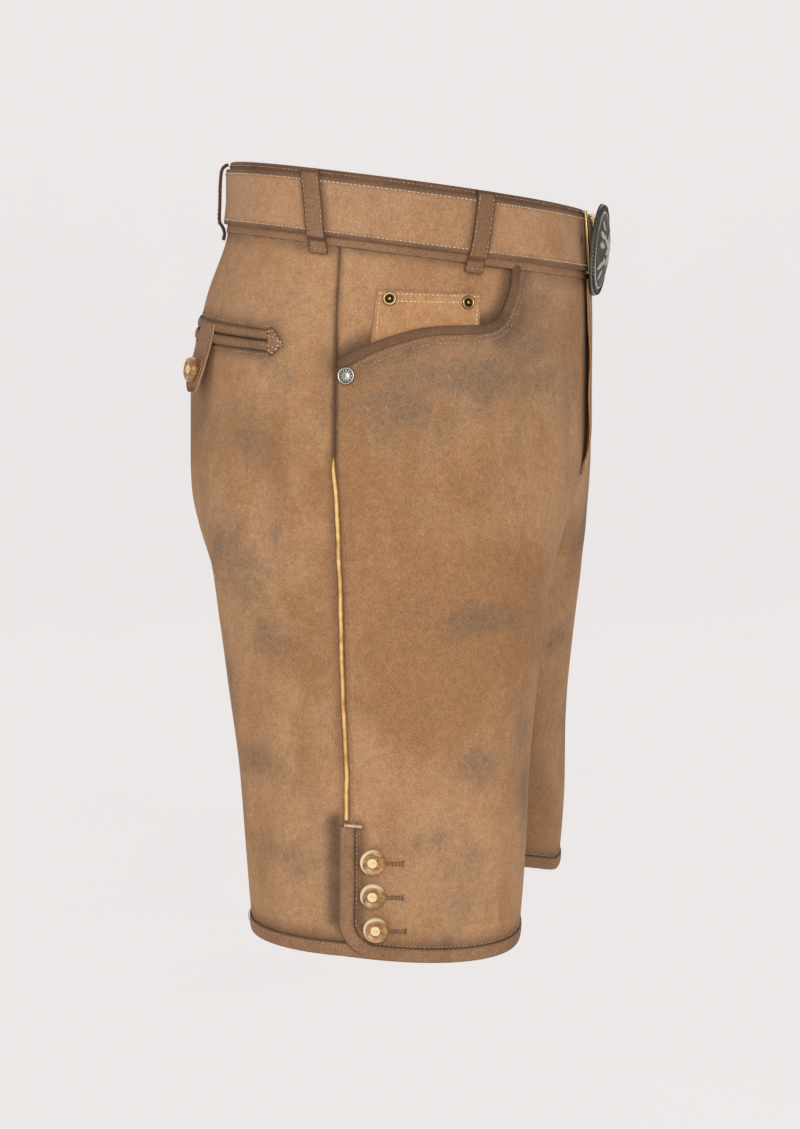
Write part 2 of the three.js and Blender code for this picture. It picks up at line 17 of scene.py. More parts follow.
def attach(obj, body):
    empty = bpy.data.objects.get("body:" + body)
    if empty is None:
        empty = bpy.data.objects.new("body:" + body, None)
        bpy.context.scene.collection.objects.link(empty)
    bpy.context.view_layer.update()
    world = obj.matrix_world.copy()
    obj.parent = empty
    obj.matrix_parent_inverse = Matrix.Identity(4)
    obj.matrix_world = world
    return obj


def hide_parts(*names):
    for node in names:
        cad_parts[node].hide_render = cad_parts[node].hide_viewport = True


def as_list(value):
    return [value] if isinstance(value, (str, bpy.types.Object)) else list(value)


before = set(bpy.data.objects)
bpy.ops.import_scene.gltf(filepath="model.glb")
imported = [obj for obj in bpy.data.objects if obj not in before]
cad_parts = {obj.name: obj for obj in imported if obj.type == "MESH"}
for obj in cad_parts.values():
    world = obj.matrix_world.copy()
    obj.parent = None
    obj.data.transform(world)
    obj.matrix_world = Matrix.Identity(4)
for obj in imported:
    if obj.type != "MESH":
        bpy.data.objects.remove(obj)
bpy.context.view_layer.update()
print("nodes in the frame:", len(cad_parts))

# %% [markdown]
# ## The camera
#
# The view is from the wearer's right and a little from the front, at the height of
# the seat, from about 1.55 m. A camera could track an empty, but an empty is one more
# thing to keep: here its direction is worked out once from two angles.

# %% The camera
TOWARDS_FRONT = math.radians(12.5)
LOOK_DOWN = math.radians(6.94)
CAMERA_DISTANCE = 1.55
CAMERA_HEIGHT = -0.076
LENS = 64.03

level_view = Vector((math.cos(TOWARDS_FRONT), math.sin(TOWARDS_FRONT), 0.0))
view = level_view * math.cos(LOOK_DOWN) - Vector((0.0, 0.0, 1.0)) * math.sin(LOOK_DOWN)
camera_data = bpy.data.cameras.new("camera")
camera_data.sensor_width = 36.0
camera_data.lens = LENS
camera = bpy.data.objects.new("camera", camera_data)
camera.location = -level_view * CAMERA_DISTANCE + Vector((0.0, 0.0, CAMERA_HEIGHT))
camera.rotation_euler = view.to_track_quat("-Z", "Y").to_euler()
bpy.context.collection.objects.link(camera)
bpy.context.scene.camera = camera
print("lens in mm:", round(camera_data.lens, 1))

# %% [markdown]
# ## The studio
#
# A sweep is one sheet of paper that runs along the floor and curves up behind the
# thing, so no line shows where the floor ends. The garment has no wearer, so the
# floor lies well below its hems. A plane and a wall would do, but their corner shows.

# %% The studio
FLOOR_LEVEL = -1.05
SWEEP_FRONT = -9.0
SWEEP_BACK = 4.0
SWEEP_RADIUS = 2.0
SWEEP_TOP = 6.0
SWEEP_HALF_WIDTH = 12.0
PALE = (0.86, 0.83, 0.82, 1.0)


def sweep_profile():
    """The sweep's section: distance from the front, and height."""
    line = [(SWEEP_FRONT, FLOOR_LEVEL)]
    for step in range(17):
        turn = math.pi / 2 * step / 16
        line.append((SWEEP_BACK + SWEEP_RADIUS * math.sin(turn),
                     FLOOR_LEVEL + SWEEP_RADIUS * (1 - math.cos(turn))))
    line.append((SWEEP_BACK + SWEEP_RADIUS, SWEEP_TOP))
    return line


def mesh_object(name, points, faces):
    """A new object from a list of points and faces, shaded smooth."""
    mesh = bpy.data.meshes.new(name)
    mesh.from_pydata([tuple(point) for point in points], [], [tuple(face) for face in faces])
    mesh.update()
    mesh.shade_smooth()
    thing = bpy.data.objects.new(name, mesh)
    bpy.context.collection.objects.link(thing)
    return thing


across_view = Vector((-level_view.y, level_view.x, 0.0))
sweep_points = []
for run, height in sweep_profile():
    for reach in (-SWEEP_HALF_WIDTH, SWEEP_HALF_WIDTH):
        sweep_points.append(level_view * run + across_view * reach + Vector((0, 0, height)))
sweep_faces = [(2 * i, 2 * i + 1, 2 * i + 3, 2 * i + 2) for i in range(len(sweep_points) // 2 - 1)]
sweep = mesh_object("studio_sweep", sweep_points, sweep_faces)


def area_light(name, place, target, size, power, colour=(1.0, 1.0, 1.0)):
    """A square soft light that looks at a target."""
    data = bpy.data.lights.new(name, "AREA")
    data.size = size
    data.energy = power
    data.color = colour
    light = bpy.data.objects.new(name, data)
    light.location = place
    light.rotation_euler = (Vector(target) - Vector(place)).to_track_quat("-Z", "Y").to_euler()
    bpy.context.collection.objects.link(light)


MIDDLE = (0.0, 0.0, -0.25)
area_light("key_light", (-2.1, -0.75, 0.55), MIDDLE, 1.3, 33)
area_light("back_light", (-1.3, 1.7, 0.9), MIDDLE, 1.4, 6.5)
area_light("top_light", (-0.2, 0.2, 2.0), MIDDLE, 1.4, 2)

world = bpy.data.worlds.new("studio_world")
bpy.context.scene.world = world
world.use_nodes = True
world.node_tree.nodes["Background"].inputs["Color"].default_value = PALE
world.node_tree.nodes["Background"].inputs["Strength"].default_value = 0.29
bpy.context.scene.view_settings.view_transform = "Standard"

# %% [markdown]
# ## Writing materials as expressions
#
# A material is a graph of nodes. Wiring it by hand in Python hides what it works
# out, so a small class stands for one socket: adding or multiplying two of them adds
# the Math node. Every other node comes from one method, which takes the node's type,
# its settings and its sockets.

# %% A socket that can be added and multiplied
def socket_name(word):
    return word.replace("_", " ").title().replace("Ior", "IOR")


class Wire:
    """One output of a node, with Python's operators."""

    def __init__(self, surface, socket):
        self.surface = surface
        self.socket = socket

    def maths(self, operation, first, second):
        return self.surface.node("ShaderNodeMath", {"operation": operation}, {0: first, 1: second})

    def __add__(self, other):
        return self.maths("ADD", self, other)

    def __sub__(self, other):
        return self.maths("SUBTRACT", self, other)

    def __rsub__(self, other):
        return self.maths("SUBTRACT", other, self)

    def __mul__(self, other):
        return self.maths("MULTIPLY", self, other)

    def __pow__(self, other):
        return self.maths("POWER", self, other)

    __radd__ = __add__
    __rmul__ = __mul__


class Surface:
    """A material in the making."""

    def __init__(self, name, **finish):
        self.material = bpy.data.materials.new(name)
        self.material.use_nodes = True
        self.tree = self.material.node_tree
        self.tree.nodes.clear()
        self.output = self.tree.nodes.new("ShaderNodeOutputMaterial")
        self.shader = self.tree.nodes.new("ShaderNodeBsdfPrincipled")
        self.tree.links.new(self.shader.outputs[0], self.output.inputs["Surface"])
        for socket, value in finish.items():
            self.shader.inputs[socket_name(socket)].default_value = value

    def fill(self, node, socket, value):
        if isinstance(value, Wire):
            self.tree.links.new(value.socket, node.inputs[socket])
        else:
            node.inputs[socket].default_value = value

    def node(self, kind, settings=None, sockets=None, out=0):
        made = self.tree.nodes.new(kind)
        for name, value in (settings or {}).items():
            if name == "stops":
                while len(made.color_ramp.elements) < len(value):
                    made.color_ramp.elements.new(1.0)
                for element, (position, colour) in zip(made.color_ramp.elements, value):
                    element.position = position
                    element.color = colour
            else:
                setattr(made, name, value)
        for socket, value in (sockets or {}).items():
            self.fill(made, socket, value)
        return Wire(self, made.outputs[out])

    def place(self):
        """Object coordinates, which are the garment's own frame."""
        return self.node("ShaderNodeTexCoord", out="Object")

    def stretched(self, scale):
        """Object coordinates with their own scale along each axis."""
        return self.node("ShaderNodeMapping", sockets={"Vector": self.place(), "Scale": scale})

    def noise(self, scale, detail=3.0, roughness=0.5, warp=0.0, at=None):
        sockets = {"Vector": at or self.place(), "Scale": scale, "Detail": detail,
                   "Roughness": roughness, "Distortion": warp}
        return self.node("ShaderNodeTexNoise", sockets=sockets)

    def ramp(self, value, low, high):
        """0 below low, 1 above high, and smooth between them."""
        return self.node("ShaderNodeMapRange", {"interpolation_type": "SMOOTHSTEP"},
                         {"Value": value, "From Min": low, "From Max": high})

    def mask(self, name):
        """A number that the mesh holds at each point."""
        return self.node("ShaderNodeAttribute", {"attribute_name": name}, out="Fac")

    def blend(self, share, first, second, mode="MIX"):
        """Two colours mixed. The colour sockets of a Mix node are its 7th and 8th."""
        return self.node("ShaderNodeMix", {"data_type": "RGBA", "blend_type": mode},
                         {0: share, 6: first, 7: second}, out=2)

    def bump(self, height, strength, distance, under=None):
        sockets = {"Height": height, "Strength": strength, "Distance": distance}
        if under is not None:
            sockets["Normal"] = under
        return self.node("ShaderNodeBump", sockets=sockets)

    def finish(self, **links):
        for socket, value in links.items():
            self.fill(self.shader, socket_name(socket), value)
        return self.material


def paint(red, green, blue):
    """A colour as seen on a screen, 0 to 255, as the linear numbers that Blender mixes."""
    linear = [(c / 255 / 12.92) if c <= 10 else ((c / 255 + 0.055) / 1.055) ** 2.4
              for c in (red, green, blue)]
    return (*linear, 1.0)


print("tan suede in linear light:", [round(c, 3) for c in paint(173, 130, 95)])

# %% [markdown]
# ## Suede
#
# Suede is leather with its flesh side out, brushed to a short nap. New it is even;
# here it is worn to look old: soft grey-brown smudged patches a hand wide and paler
# rubbed patches. Painted shade darkens it along every seam and binding, and the broad
# grey-brown patches below the pocket mouth are painted shade too. Paint would need an
# image. Layers of noise in the garment's own coordinates have no seams, and a number
# held at each point of the mesh, `shade`, says how much painted shade falls there,
# most near a seam.

# %% Suede
def suede(name, pale, tan, smudge, edge, smudges_and_shade=0.75, sheen=0.12):
    """Worn suede: pale and tan mottled together, with smudged patches and painted shade; edge is the painted
    shade's colour.
    """
    cloth = Surface(name, sheen_weight=sheen, sheen_roughness=0.5, sheen_tint=paint(214, 186, 158),
                    specular_ior_level=0.12)
    broad = cloth.noise(7.0, 3.0, 0.5, 0.5)
    patches = cloth.noise(24.0, 4.0, 0.6, 0.7)
    drag = cloth.noise(34.0, 3.0, 0.55, 0.3, cloth.stretched((1.0, 1.0, 0.4)))
    scuffs = cloth.noise(60.0, 4.0, 0.7, 1.6)
    flecks = cloth.noise(230.0, 3.0, 0.65)
    nap = cloth.noise(1100.0, 2.0, 0.6, 0.0, cloth.stretched((1.0, 1.0, 0.7)))

    mottle = cloth.ramp(broad * 0.5 + patches * 0.28 + drag * 0.22, 0.4, 0.6)
    colour = cloth.blend(mottle, tan, pale)
    stain = cloth.ramp(broad * 0.5 + patches * 0.5, 0.52, 0.68) * 0.5 * smudges_and_shade
    colour = cloth.blend(stain, colour, smudge)
    # The smudge mark: smudged patches, and painted shade below the pocket mouth.
    spot = cloth.ramp(cloth.mask("smudge") + (patches - 0.5) * 1.5 + (scuffs - 0.5) * 0.7, 0.1, 0.95)
    colour = cloth.blend(spot * smudges_and_shade, colour, smudge)
    rubbed = cloth.ramp(scuffs, 0.6, 0.76) * 0.3
    colour = cloth.blend(rubbed, colour, cloth.blend(0.6, pale, paint(212, 178, 140)))
    # Painted shade near seams, bindings, hems and the inner legs, in the colour edge.
    shade = cloth.ramp(cloth.mask("shade") + (patches - 0.5) * 0.6 + (flecks - 0.5) * 0.2, 0.1, 1.0)
    colour = cloth.blend(shade, colour, edge)
    grain = cloth.ramp(flecks, 0.3, 0.72)
    grain_colour = cloth.blend(grain, paint(104, 84, 68), paint(236, 222, 204))
    colour = cloth.blend(0.13, colour, grain_colour, "OVERLAY")
    fuzz = cloth.ramp(nap, 0.25, 0.75)
    fuzz_colour = cloth.blend(fuzz, paint(84, 74, 66), paint(232, 224, 212))
    colour = cloth.blend(0.42, colour, fuzz_colour, "SOFT_LIGHT")

    relief = cloth.bump(patches * 0.5 + flecks * 0.32, 0.5, 0.0012)
    relief = cloth.bump(nap, 0.5, 0.0004, relief)
    rough = 0.84 + patches * 0.12
    return cloth.finish(base_color=colour, roughness=rough, normal=relief)


MATERIALS = {
    "suede": suede("suede", paint(186, 147, 112), paint(160, 121, 87), paint(128, 107, 89), paint(92, 73, 60)),
    "belt_suede": suede("belt_suede", paint(188, 150, 117), paint(168, 130, 98), paint(142, 116, 96),
                        paint(104, 83, 69), smudges_and_shade=0.5),
    "patch_suede": suede("patch_suede", paint(190, 148, 108), paint(172, 130, 92), paint(150, 116, 88),
                         paint(124, 96, 74), smudges_and_shade=0.3),
    "raw_suede": suede("raw_suede", paint(214, 178, 140), paint(192, 152, 114), paint(160, 128, 100),
                       paint(156, 124, 96), smudges_and_shade=0.2),
    "binding_suede": suede("binding_suede", paint(160, 126, 98), paint(136, 104, 80), paint(112, 88, 72),
                           paint(84, 63, 50), smudges_and_shade=0.6),
}
print("suedes:", len(MATERIALS))

# %% [markdown]
# ## Piping, thread, horn and metal
#
# The piping is smooth dyed leather over a cord, so it has a low gloss; painted shade
# darkens the sides of the cord. Thread is waxed, and each stitch is too small for more
# than a little change of colour. Horn is brown where it is dished, with streaks, and
# its rim is cream on one side as a painted highlight. Brass and pewter are darkened and
# then rubbed, so their high places shine: `relief` says how high a point is.

# %% Piping and thread
def smooth_leather(name, pale, dark):
    skin = Surface(name, specular_ior_level=0.4)
    along = skin.noise(70.0, 3.0, 0.6)
    pores = skin.noise(900.0, 2.0, 0.6)
    # The shade mark adds painted shade.
    colour = skin.blend(skin.ramp(along + skin.mask("shade") * 0.4, 0.4, 0.75), pale, dark)
    return skin.finish(base_color=colour, roughness=0.42 + pores * 0.25,
                       normal=skin.bump(pores, 0.3, 0.0003))


def thread(name, pale, dark):
    strand = Surface(name, specular_ior_level=0.3, sheen_weight=0.2)
    uneven = strand.noise(130.0, 2.0, 0.6)
    twist = strand.noise(2600.0, 1.0, 0.5)
    colour = strand.blend(strand.ramp(uneven, 0.35, 0.7), pale, dark)
    return strand.finish(base_color=colour, roughness=0.6 + uneven * 0.2,
                         normal=strand.bump(twist, 0.5, 0.0002))


MATERIALS["piping"] = smooth_leather("piping_leather", paint(240, 196, 124), paint(170, 118, 62))
MATERIALS["cream_thread"] = thread("cream_thread", paint(228, 202, 166), paint(188, 156, 122))
MATERIALS["brown_thread"] = thread("brown_thread", paint(190, 156, 124), paint(134, 102, 78))
MATERIALS["dark_thread"] = thread("dark_thread", paint(122, 88, 62), paint(84, 60, 44))
print("materials so far:", len(MATERIALS))


# %% Horn and metal
def horn(name, rim, dish, boss):
    """The mesh holds `ring`, 1 at the pale side of the rim, and `boss`, 1 in the middle."""
    blank = Surface(name, specular_ior_level=0.55, coat_weight=0.35, coat_roughness=0.2)
    ring = blank.mask("ring")
    streaks = blank.noise(120.0, 4.0, 0.65, 1.2, blank.stretched((1.0, 0.4, 1.6)))
    clouds = blank.noise(46.0, 3.0, 0.6, 0.8)
    mottled = blank.blend(blank.ramp(streaks, 0.36, 0.66), dish, paint(202, 152, 92))
    mottled = blank.blend(blank.ramp(clouds, 0.5, 0.7) * 0.7, mottled, paint(96, 62, 36))
    # The cream on one side of the rim is a painted highlight.
    colour = blank.blend(blank.ramp(ring + (clouds - 0.5) * 0.25, 0.86, 0.98), mottled, rim)
    colour = blank.blend(blank.ramp(blank.mask("boss"), 0.4, 0.6), colour, boss)
    return blank.finish(base_color=colour, roughness=0.24 + streaks * 0.16,
                        normal=blank.bump(streaks, 0.15, 0.0004))


def old_metal(name, high, low, dull=0.55, bright=0.3):
    """Metal darkened in its hollows. The mesh holds `relief`: 1 where it is rubbed."""
    plate = Surface(name, metallic=1.0)
    worn = plate.noise(160.0, 4.0, 0.65)
    pits = plate.noise(1100.0, 2.0, 0.6)
    rubbed = plate.ramp(plate.mask("relief") + (worn - 0.5) * 0.5, 0.2, 0.85)
    colour = plate.blend(rubbed, low, high)
    return plate.finish(base_color=colour, roughness=dull - rubbed * (dull - bright) + pits * 0.1,
                        normal=plate.bump(worn * 0.7 + pits * 0.3, 0.35, 0.0004))


MATERIALS["horn"] = horn("horn", paint(240, 218, 184), paint(140, 92, 46), paint(240, 214, 160))
MATERIALS["brass"] = old_metal("antique_brass", paint(176, 146, 98), paint(52, 42, 30))
MATERIALS["pewter"] = old_metal("antique_pewter", paint(206, 203, 192), paint(92, 90, 82))
MATERIALS["silver"] = old_metal("old_silver", paint(196, 192, 184), paint(84, 78, 72))
print("materials:", sorted(MATERIALS))

# %% The sweep's own material
paper = Surface("studio_paper", roughness=0.9, specular_ior_level=0.1, emission_strength=1.0)
tooth = paper.noise(3.0, 2.0, 0.5)
shade_of_paper = paper.blend(tooth, (0.235, 0.228, 0.226, 1.0), (0.245, 0.238, 0.236, 1.0))
glow = paper.blend(tooth, (0.712, 0.688, 0.682, 1.0), (0.722, 0.698, 0.692, 1.0))
sweep.data.materials.append(paper.finish(base_color=shade_of_paper, emission_color=glow))

# %% [markdown]
# ## The skin
#
# The real garment is cut flat and sewn round a body. Here every piece of cloth is
# laid out on one surface, the skin, which runs through the outside of the front and
# back panels. A place on it has a side (-1 the wearer's right, +1 the left), a level
# (its height at the side of the body) and a distance along that level from the side
# seam, forwards positive, both in millimetres. A cloth simulation would drape the
# pieces, but they would leave their places; drafting keeps each seam where it is.

# %% The skin's sections
MM = 0.001
SEAM_GAP = 0.3
SEAM_TOUCH = 0.04
HEM_LEVEL = -520
WAIST_SLOPE = math.tan(math.radians(7.5))
SLOPE_ENDS = -150
ROUNDNESS = 2.25

# Level, then across from the middle: the leg's centre, the side, the reach inwards.
# Then y of the front, the back, the section's middle and the side seam.
SECTIONS = [
    (-520, 106, 184, 83, -111, 86, -9, -2),
    (-460, 104, 184, 85, -115, 91, -8, -3),
    (-400, 102, 184, 87, -117, 96, -7, -3),
    (-340, 101, 185, 90, -122, 104, -4, -1),
    (-290, 98, 185, 91, -127, 112, 0, 0),
    (-262, 92, 184, 92, -130, 118, 3, 1),
    (-245, 80, 184, 104, -133, 125, 4, 2),
    (-225, 64, 183, 121, -136, 134, 4, 3),
    (-200, 42, 182, 141, -140, 144, 3, 4),
    (-175, 20, 181, 161, -143, 150, 2, 6),
    (-150, 5, 180, 174, -144, 153, 1, 6),
    (-125, 0, 178, 178, -144, 154, 0, 6),
    (-75, 0, 172, 172, -144, 142, 0, 6),
    (-26, 0, 165, 165, -143, 123, 0, 5),
    (0, 0, 164, 164, -141, 120, 0, 4),
    (24, 0, 163, 163, -139, 120, 0, 4),
]


def smooth(low, high, value):
    """0 at low, 1 at high, with a soft start and end."""
    t = np.clip((np.asarray(value, float) - low) / (high - low), 0, 1)
    return t * t * (3 - 2 * t)


def mix(first, second, share):
    return first + (second - first) * share


def curve_through(x, y):
    """A curve through points that never overshoots them."""
    x = np.asarray(x, float)
    y = np.asarray(y, float)
    run = np.diff(x)
    rise = np.diff(y) / run
    slope = np.concatenate([rise[:1], np.zeros(len(x) - 2), rise[-1:]])
    for i in range(1, len(x) - 1):
        if rise[i - 1] * rise[i] > 0:
            before = 2 * run[i] + run[i - 1]
            after = run[i] + 2 * run[i - 1]
            slope[i] = (before + after) / (before / rise[i - 1] + after / rise[i])

    def curve(value):
        value = np.asarray(value, float)
        i = np.clip(np.searchsorted(x, value) - 1, 0, len(run) - 1)
        t = (value - x[i]) / run[i]
        fall = (1 + 2 * t) * (1 - t) ** 2 * y[i]
        lift = t * t * (3 - 2 * t) * y[i + 1]
        leave = t * (1 - t) ** 2 * run[i] * slope[i]
        arrive = t * t * (t - 1) * run[i] * slope[i + 1]
        return fall + leave + lift + arrive

    return curve


columns = list(zip(*SECTIONS))
SECTION_CURVES = [curve_through(columns[0], column) for column in columns[1:]]
RING_STEPS = 320
# Towards the hem the front hangs lower, and the inside of each leg rides up.
HEM_TILT = {"from": -300, "front_drop": 6, "inside_rise": 14, "inside_from": 100, "inside_to": 30}


def hem_tilt(level, x, y):
    low = smooth(HEM_TILT["from"], HEM_LEVEL, level)
    inside = smooth(HEM_TILT["inside_from"], HEM_TILT["inside_to"], x)
    forward = np.maximum(0, y / SECTIONS[0][4])
    return low * (HEM_TILT["inside_rise"] * inside - HEM_TILT["front_drop"] * forward)


def ring(level):
    """One half's section from the front's middle, or the inseam, round the side."""
    leg_centre, side, inner, front, back, middle, seam = (float(c(level)) for c in SECTION_CURVES)
    start = -math.asin(min(1.0, leg_centre / inner) ** (ROUNDNESS / 2))
    turn = np.linspace(start, math.pi - start, RING_STEPS + 1)
    across, ahead = np.sin(turn), np.cos(turn)
    reach = np.where(across < 0, inner, side - leg_centre)
    depth = np.where(ahead > 0, middle - front, back - middle)
    x = leg_centre + reach * np.sign(across) * np.abs(across) ** (2 / ROUNDNESS)
    y = middle - depth * np.sign(ahead) * np.abs(ahead) ** (2 / ROUNDNESS)
    slope = WAIST_SLOPE * float(smooth(SLOPE_ENDS, -25, level))
    height = level + slope * y + hem_tilt(level, x, y)
    points = np.stack([np.maximum(0, x), y, height], axis=1)
    travelled = np.concatenate([[0], np.cumsum(np.linalg.norm(np.diff(points, axis=0), axis=1))])
    behind = next(i for i in range(1, RING_STEPS) if y[i - 1] < seam <= y[i] and x[i] > leg_centre)
    share = (seam - y[behind - 1]) / (y[behind] - y[behind - 1])
    return points, travelled, mix(travelled[behind - 1], travelled[behind], share)


print("outside waist in mm:", round(2 * float(ring(0)[1][-1])))
print("hem in mm:", round(float(ring(HEM_LEVEL)[1][-1])))

# %% [markdown]
# A place is looked up many thousand times, so the skin is sampled once, every
# millimetre both ways, and places between the samples are blended from four of them.

# %% The skin as a table that can be looked up
LOWEST = -530
HIGHEST = 34
REACH = 365


class Skin:
    def __init__(self):
        self.levels = np.arange(LOWEST, HIGHEST + 1)
        self.alongs = np.arange(-REACH - 3, REACH + 4)
        rows = [ring(float(level)) for level in self.levels]
        self.front = np.array([seam for _, _, seam in rows])
        self.back = np.array([seam - travelled[-1] for _, travelled, seam in rows])
        self.table = np.stack([self.row(*parts) for parts in rows])

    def row(self, points, travelled, seam):
        """One section at every whole millimetre, carried straight on past its ends."""
        target = seam - self.alongs
        row = np.stack([np.interp(target, travelled, points[:, axis]) for axis in range(3)], axis=1)
        ahead = (points[1] - points[0]) / (travelled[1] - travelled[0])
        beyond = (points[-1] - points[-2]) / (travelled[-1] - travelled[-2])
        row += np.minimum(target, 0)[:, None] * ahead
        row += np.maximum(target - travelled[-1], 0)[:, None] * beyond
        return row

    def front_at(self, level):
        return np.interp(level, self.levels, self.front)

    def back_at(self, level):
        return np.interp(level, self.levels, self.back)

    def look_up(self, level, along):
        r = np.clip(np.asarray(level, float) - self.levels[0], 0, len(self.levels) - 1.001)
        c = np.clip(np.asarray(along, float) - self.alongs[0], 0, len(self.alongs) - 1.001)
        r0, c0 = r.astype(int), c.astype(int)
        r, c = (r - r0)[..., None], (c - c0)[..., None]
        upper = mix(self.table[r0 + 1, c0], self.table[r0 + 1, c0 + 1], c)
        lower = mix(self.table[r0, c0], self.table[r0, c0 + 1], c)
        return mix(lower, upper, r)

    def normal(self, level, along):
        up = self.look_up(level + 2.0, along) - self.look_up(level - 2.0, along)
        ahead = self.look_up(level, along + 2.0) - self.look_up(level, along - 2.0)
        across = np.cross(up, ahead)
        return across / np.linalg.norm(across, axis=-1, keepdims=True)

    def place(self, side, level, along, out, half_gap=SEAM_GAP / 2):
        """Points in metres at places on the skin, moved out by a distance in mm."""
        level, along, out = np.broadcast_arrays(*(np.asarray(v, float) for v in (level, along, out)))
        point = self.look_up(level, along) + self.normal(level, along) * out[..., None]
        point[..., 0] = (point[..., 0] + half_gap) * side
        return point * MM


skin = Skin()
print("the skin's table:", skin.table.shape)

# %% [markdown]
# ## Painted shade, smudged patches and creases
#
# Painted shade darkens the suede along seams, bindings and hems, below the pocket
# mouth and on the inner legs. It also has smudged patches that keep to their places
# and a few soft creases. A shader can't know where a seam runs, so lines are laid on
# the skin, each as places of distance along and level. How near a point of the cloth
# is to each line gives its shade or its rise. Sculpting the creases would do as well, but not repeatably.

# %% Lines on the skin


def nearest(level, along, line):
    """How far each place is from a line, and how far along the line it is, 0 to 1."""
    line = np.asarray(line, float)
    length = np.concatenate([[0], np.cumsum(np.linalg.norm(np.diff(line, axis=0), axis=1))])
    best = np.full(np.shape(level), 1e6)
    share = np.zeros(np.shape(level))
    for i, (start, end) in enumerate(zip(line[:-1], line[1:])):
        run = end - start
        t = ((along - start[0]) * run[0] + (level - start[1]) * run[1]) / (run @ run)
        t = np.clip(t, 0, 1)
        distance = np.hypot(along - start[0] - t * run[0], level - start[1] - t * run[1])
        closer = distance < best
        best = np.where(closer, distance, best)
        share = np.where(closer, (length[i] + t * (length[i + 1] - length[i])) / length[-1], share)
    return best, share


def bent(places, count=18):
    """A smooth line through a few given places."""
    places = np.asarray(places, float)
    at = np.arange(len(places))
    t = np.linspace(0, len(places) - 1, count)
    return np.stack([curve_through(at, places[:, axis])(t) for axis in range(2)], axis=1)


POCKET_MOUTH = [(0, -105), (23, -92), (41, -84), (58, -78), (77, -74.5), (97, -72.5),
                (110, -69.5), (118, -62), (123, -49), (126, -37), (127, -24.5)]
mouth_level = curve_through(*zip(*POCKET_MOUTH))
MOUTH_END = 127
VENT_CORNER = {"level": -494, "along": 21, "radius": 21}
VENT_OVERLAP = 5


def vent_edge(level, overlap):
    """Where a level crosses an edge that runs down the vent and rounds its corner."""
    below = np.maximum(0, VENT_CORNER["level"] - np.asarray(level, float))
    radius = VENT_CORNER["radius"] + overlap
    return VENT_CORNER["along"] - np.sqrt(np.maximum(0, radius * radius - below * below))


# Each is a line of (along, level), how far its shade reaches, and how dark it is.
SHADE_LINES = [
    ([(0, -24), (0, -170)], 9, 0.5),
    ([(-2, -168), (-2, -424)], 11, 0.5),
    ([(-1.8, -168), (-1.8, -424)], 3.2, 0.95),
    ([(0, -24), (0, -168)], 2.4, 0.9),
    ([(-8, -424), (-8, -494)], 16, 0.75),
    ([(-8, -494), (4, -512), (21, -520)], 14, 0.7),
    ([(8, -427), (8, -496), (22, -508)], 13, 0.7),
    (POCKET_MOUTH, 30, 0.62),
    ([(2, -110), (28, -100), (60, -88)], 26, 0.5),
    ([(120, -80), (134, -60), (136, -24)], 26, 0.55),
    ([(-180, -26), (127, -26)], 20, 0.55),
    ([(127, -26), (280, -26)], 20, 0.5),
    ([(-52, -94), (-196, -89)], 24, 0.85),
    ([(-126, -100), (-126, -140)], 26, 0.5),
]


def nearness_shade(level, along, from_front, from_back):
    """The painted shade at places, from the lines, the hem, the inner legs and the middle seams."""
    shade = np.zeros(np.shape(level))
    for line, reach, dark in SHADE_LINES:
        distance, _ = nearest(level, along, line)
        shade = np.maximum(shade, dark * (1 - smooth(0, reach, distance)))
    shade = np.maximum(shade, 0.8 * (1 - smooth(4, 30, level - HEM_LEVEL)))
    shade = np.maximum(shade, 0.6 * (1 - smooth(0, 22, from_front)))
    # Painted shade on the inner legs, where one leg shades the other.
    inside_leg = smooth(-190, -290, level) * (1 - smooth(20, 190, np.minimum(from_front, from_back)))
    shade = np.maximum(shade, 0.75 * inside_leg)
    return np.maximum(shade, 0.5 * (1 - smooth(0, 16, from_back)))


# Each is a place on one side, its two reaches, and how strong it is.
SMUDGES_AND_SHADE = [
    # The six broad marks of the first two rows, below and ahead of the right pocket's mouth, are painted shade;
    # the others are smudged patches.
    (-1, 44, -136, 62, 24, 0.7), (-1, 146, -114, 58, 24, 0.7), (-1, 196, -120, 40, 40, 0.6),
    (-1, 84, -112, 84, 24, 0.8), (-1, 140, -84, 38, 36, 0.75), (-1, 150, -44, 26, 34, 0.7),
    (-1, 128, -172, 30, 16, 0.35), (-1, 96, -282, 34, 15, 0.85), (-1, 60, -276, 18, 12, 0.45),
    (-1, 92, -386, 26, 16, 0.7), (-1, 146, -370, 22, 22, 0.6), (-1, 158, -408, 20, 34, 0.5),
    (-1, 70, -436, 22, 10, 0.3), (-1, -58, -160, 24, 22, 0.6), (-1, -88, -238, 30, 26, 0.75),
    (-1, -40, -216, 16, 22, 0.3), (-1, -62, -300, 26, 22, 0.75), (-1, -96, -330, 22, 30, 0.55),
    (-1, -74, -388, 26, 14, 0.7), (-1, -30, -396, 16, 12, 0.4), (-1, -60, -452, 30, 16, 0.5),
    (-1, -112, -436, 22, 30, 0.5), (-1, -28, -120, 18, 14, 0.3), (-1, -150, -150, 30, 24, 0.6),
    (1, 60, -150, 40, 24, 0.75), (1, 190, -240, 26, 34, 0.8), (1, 120, -200, 34, 22, 0.5),
    (1, 210, -330, 30, 22, 0.6), (1, 160, -410, 26, 30, 0.6), (1, 70, -310, 34, 20, 0.7),
    (1, -60, -180, 30, 26, 0.6), (1, -110, -270, 32, 24, 0.65), (1, -50, -380, 26, 30, 0.6),
    (1, -130, -420, 30, 22, 0.5), (1, 40, -440, 30, 16, 0.4), (1, -180, -200, 30, 34, 0.5),
]


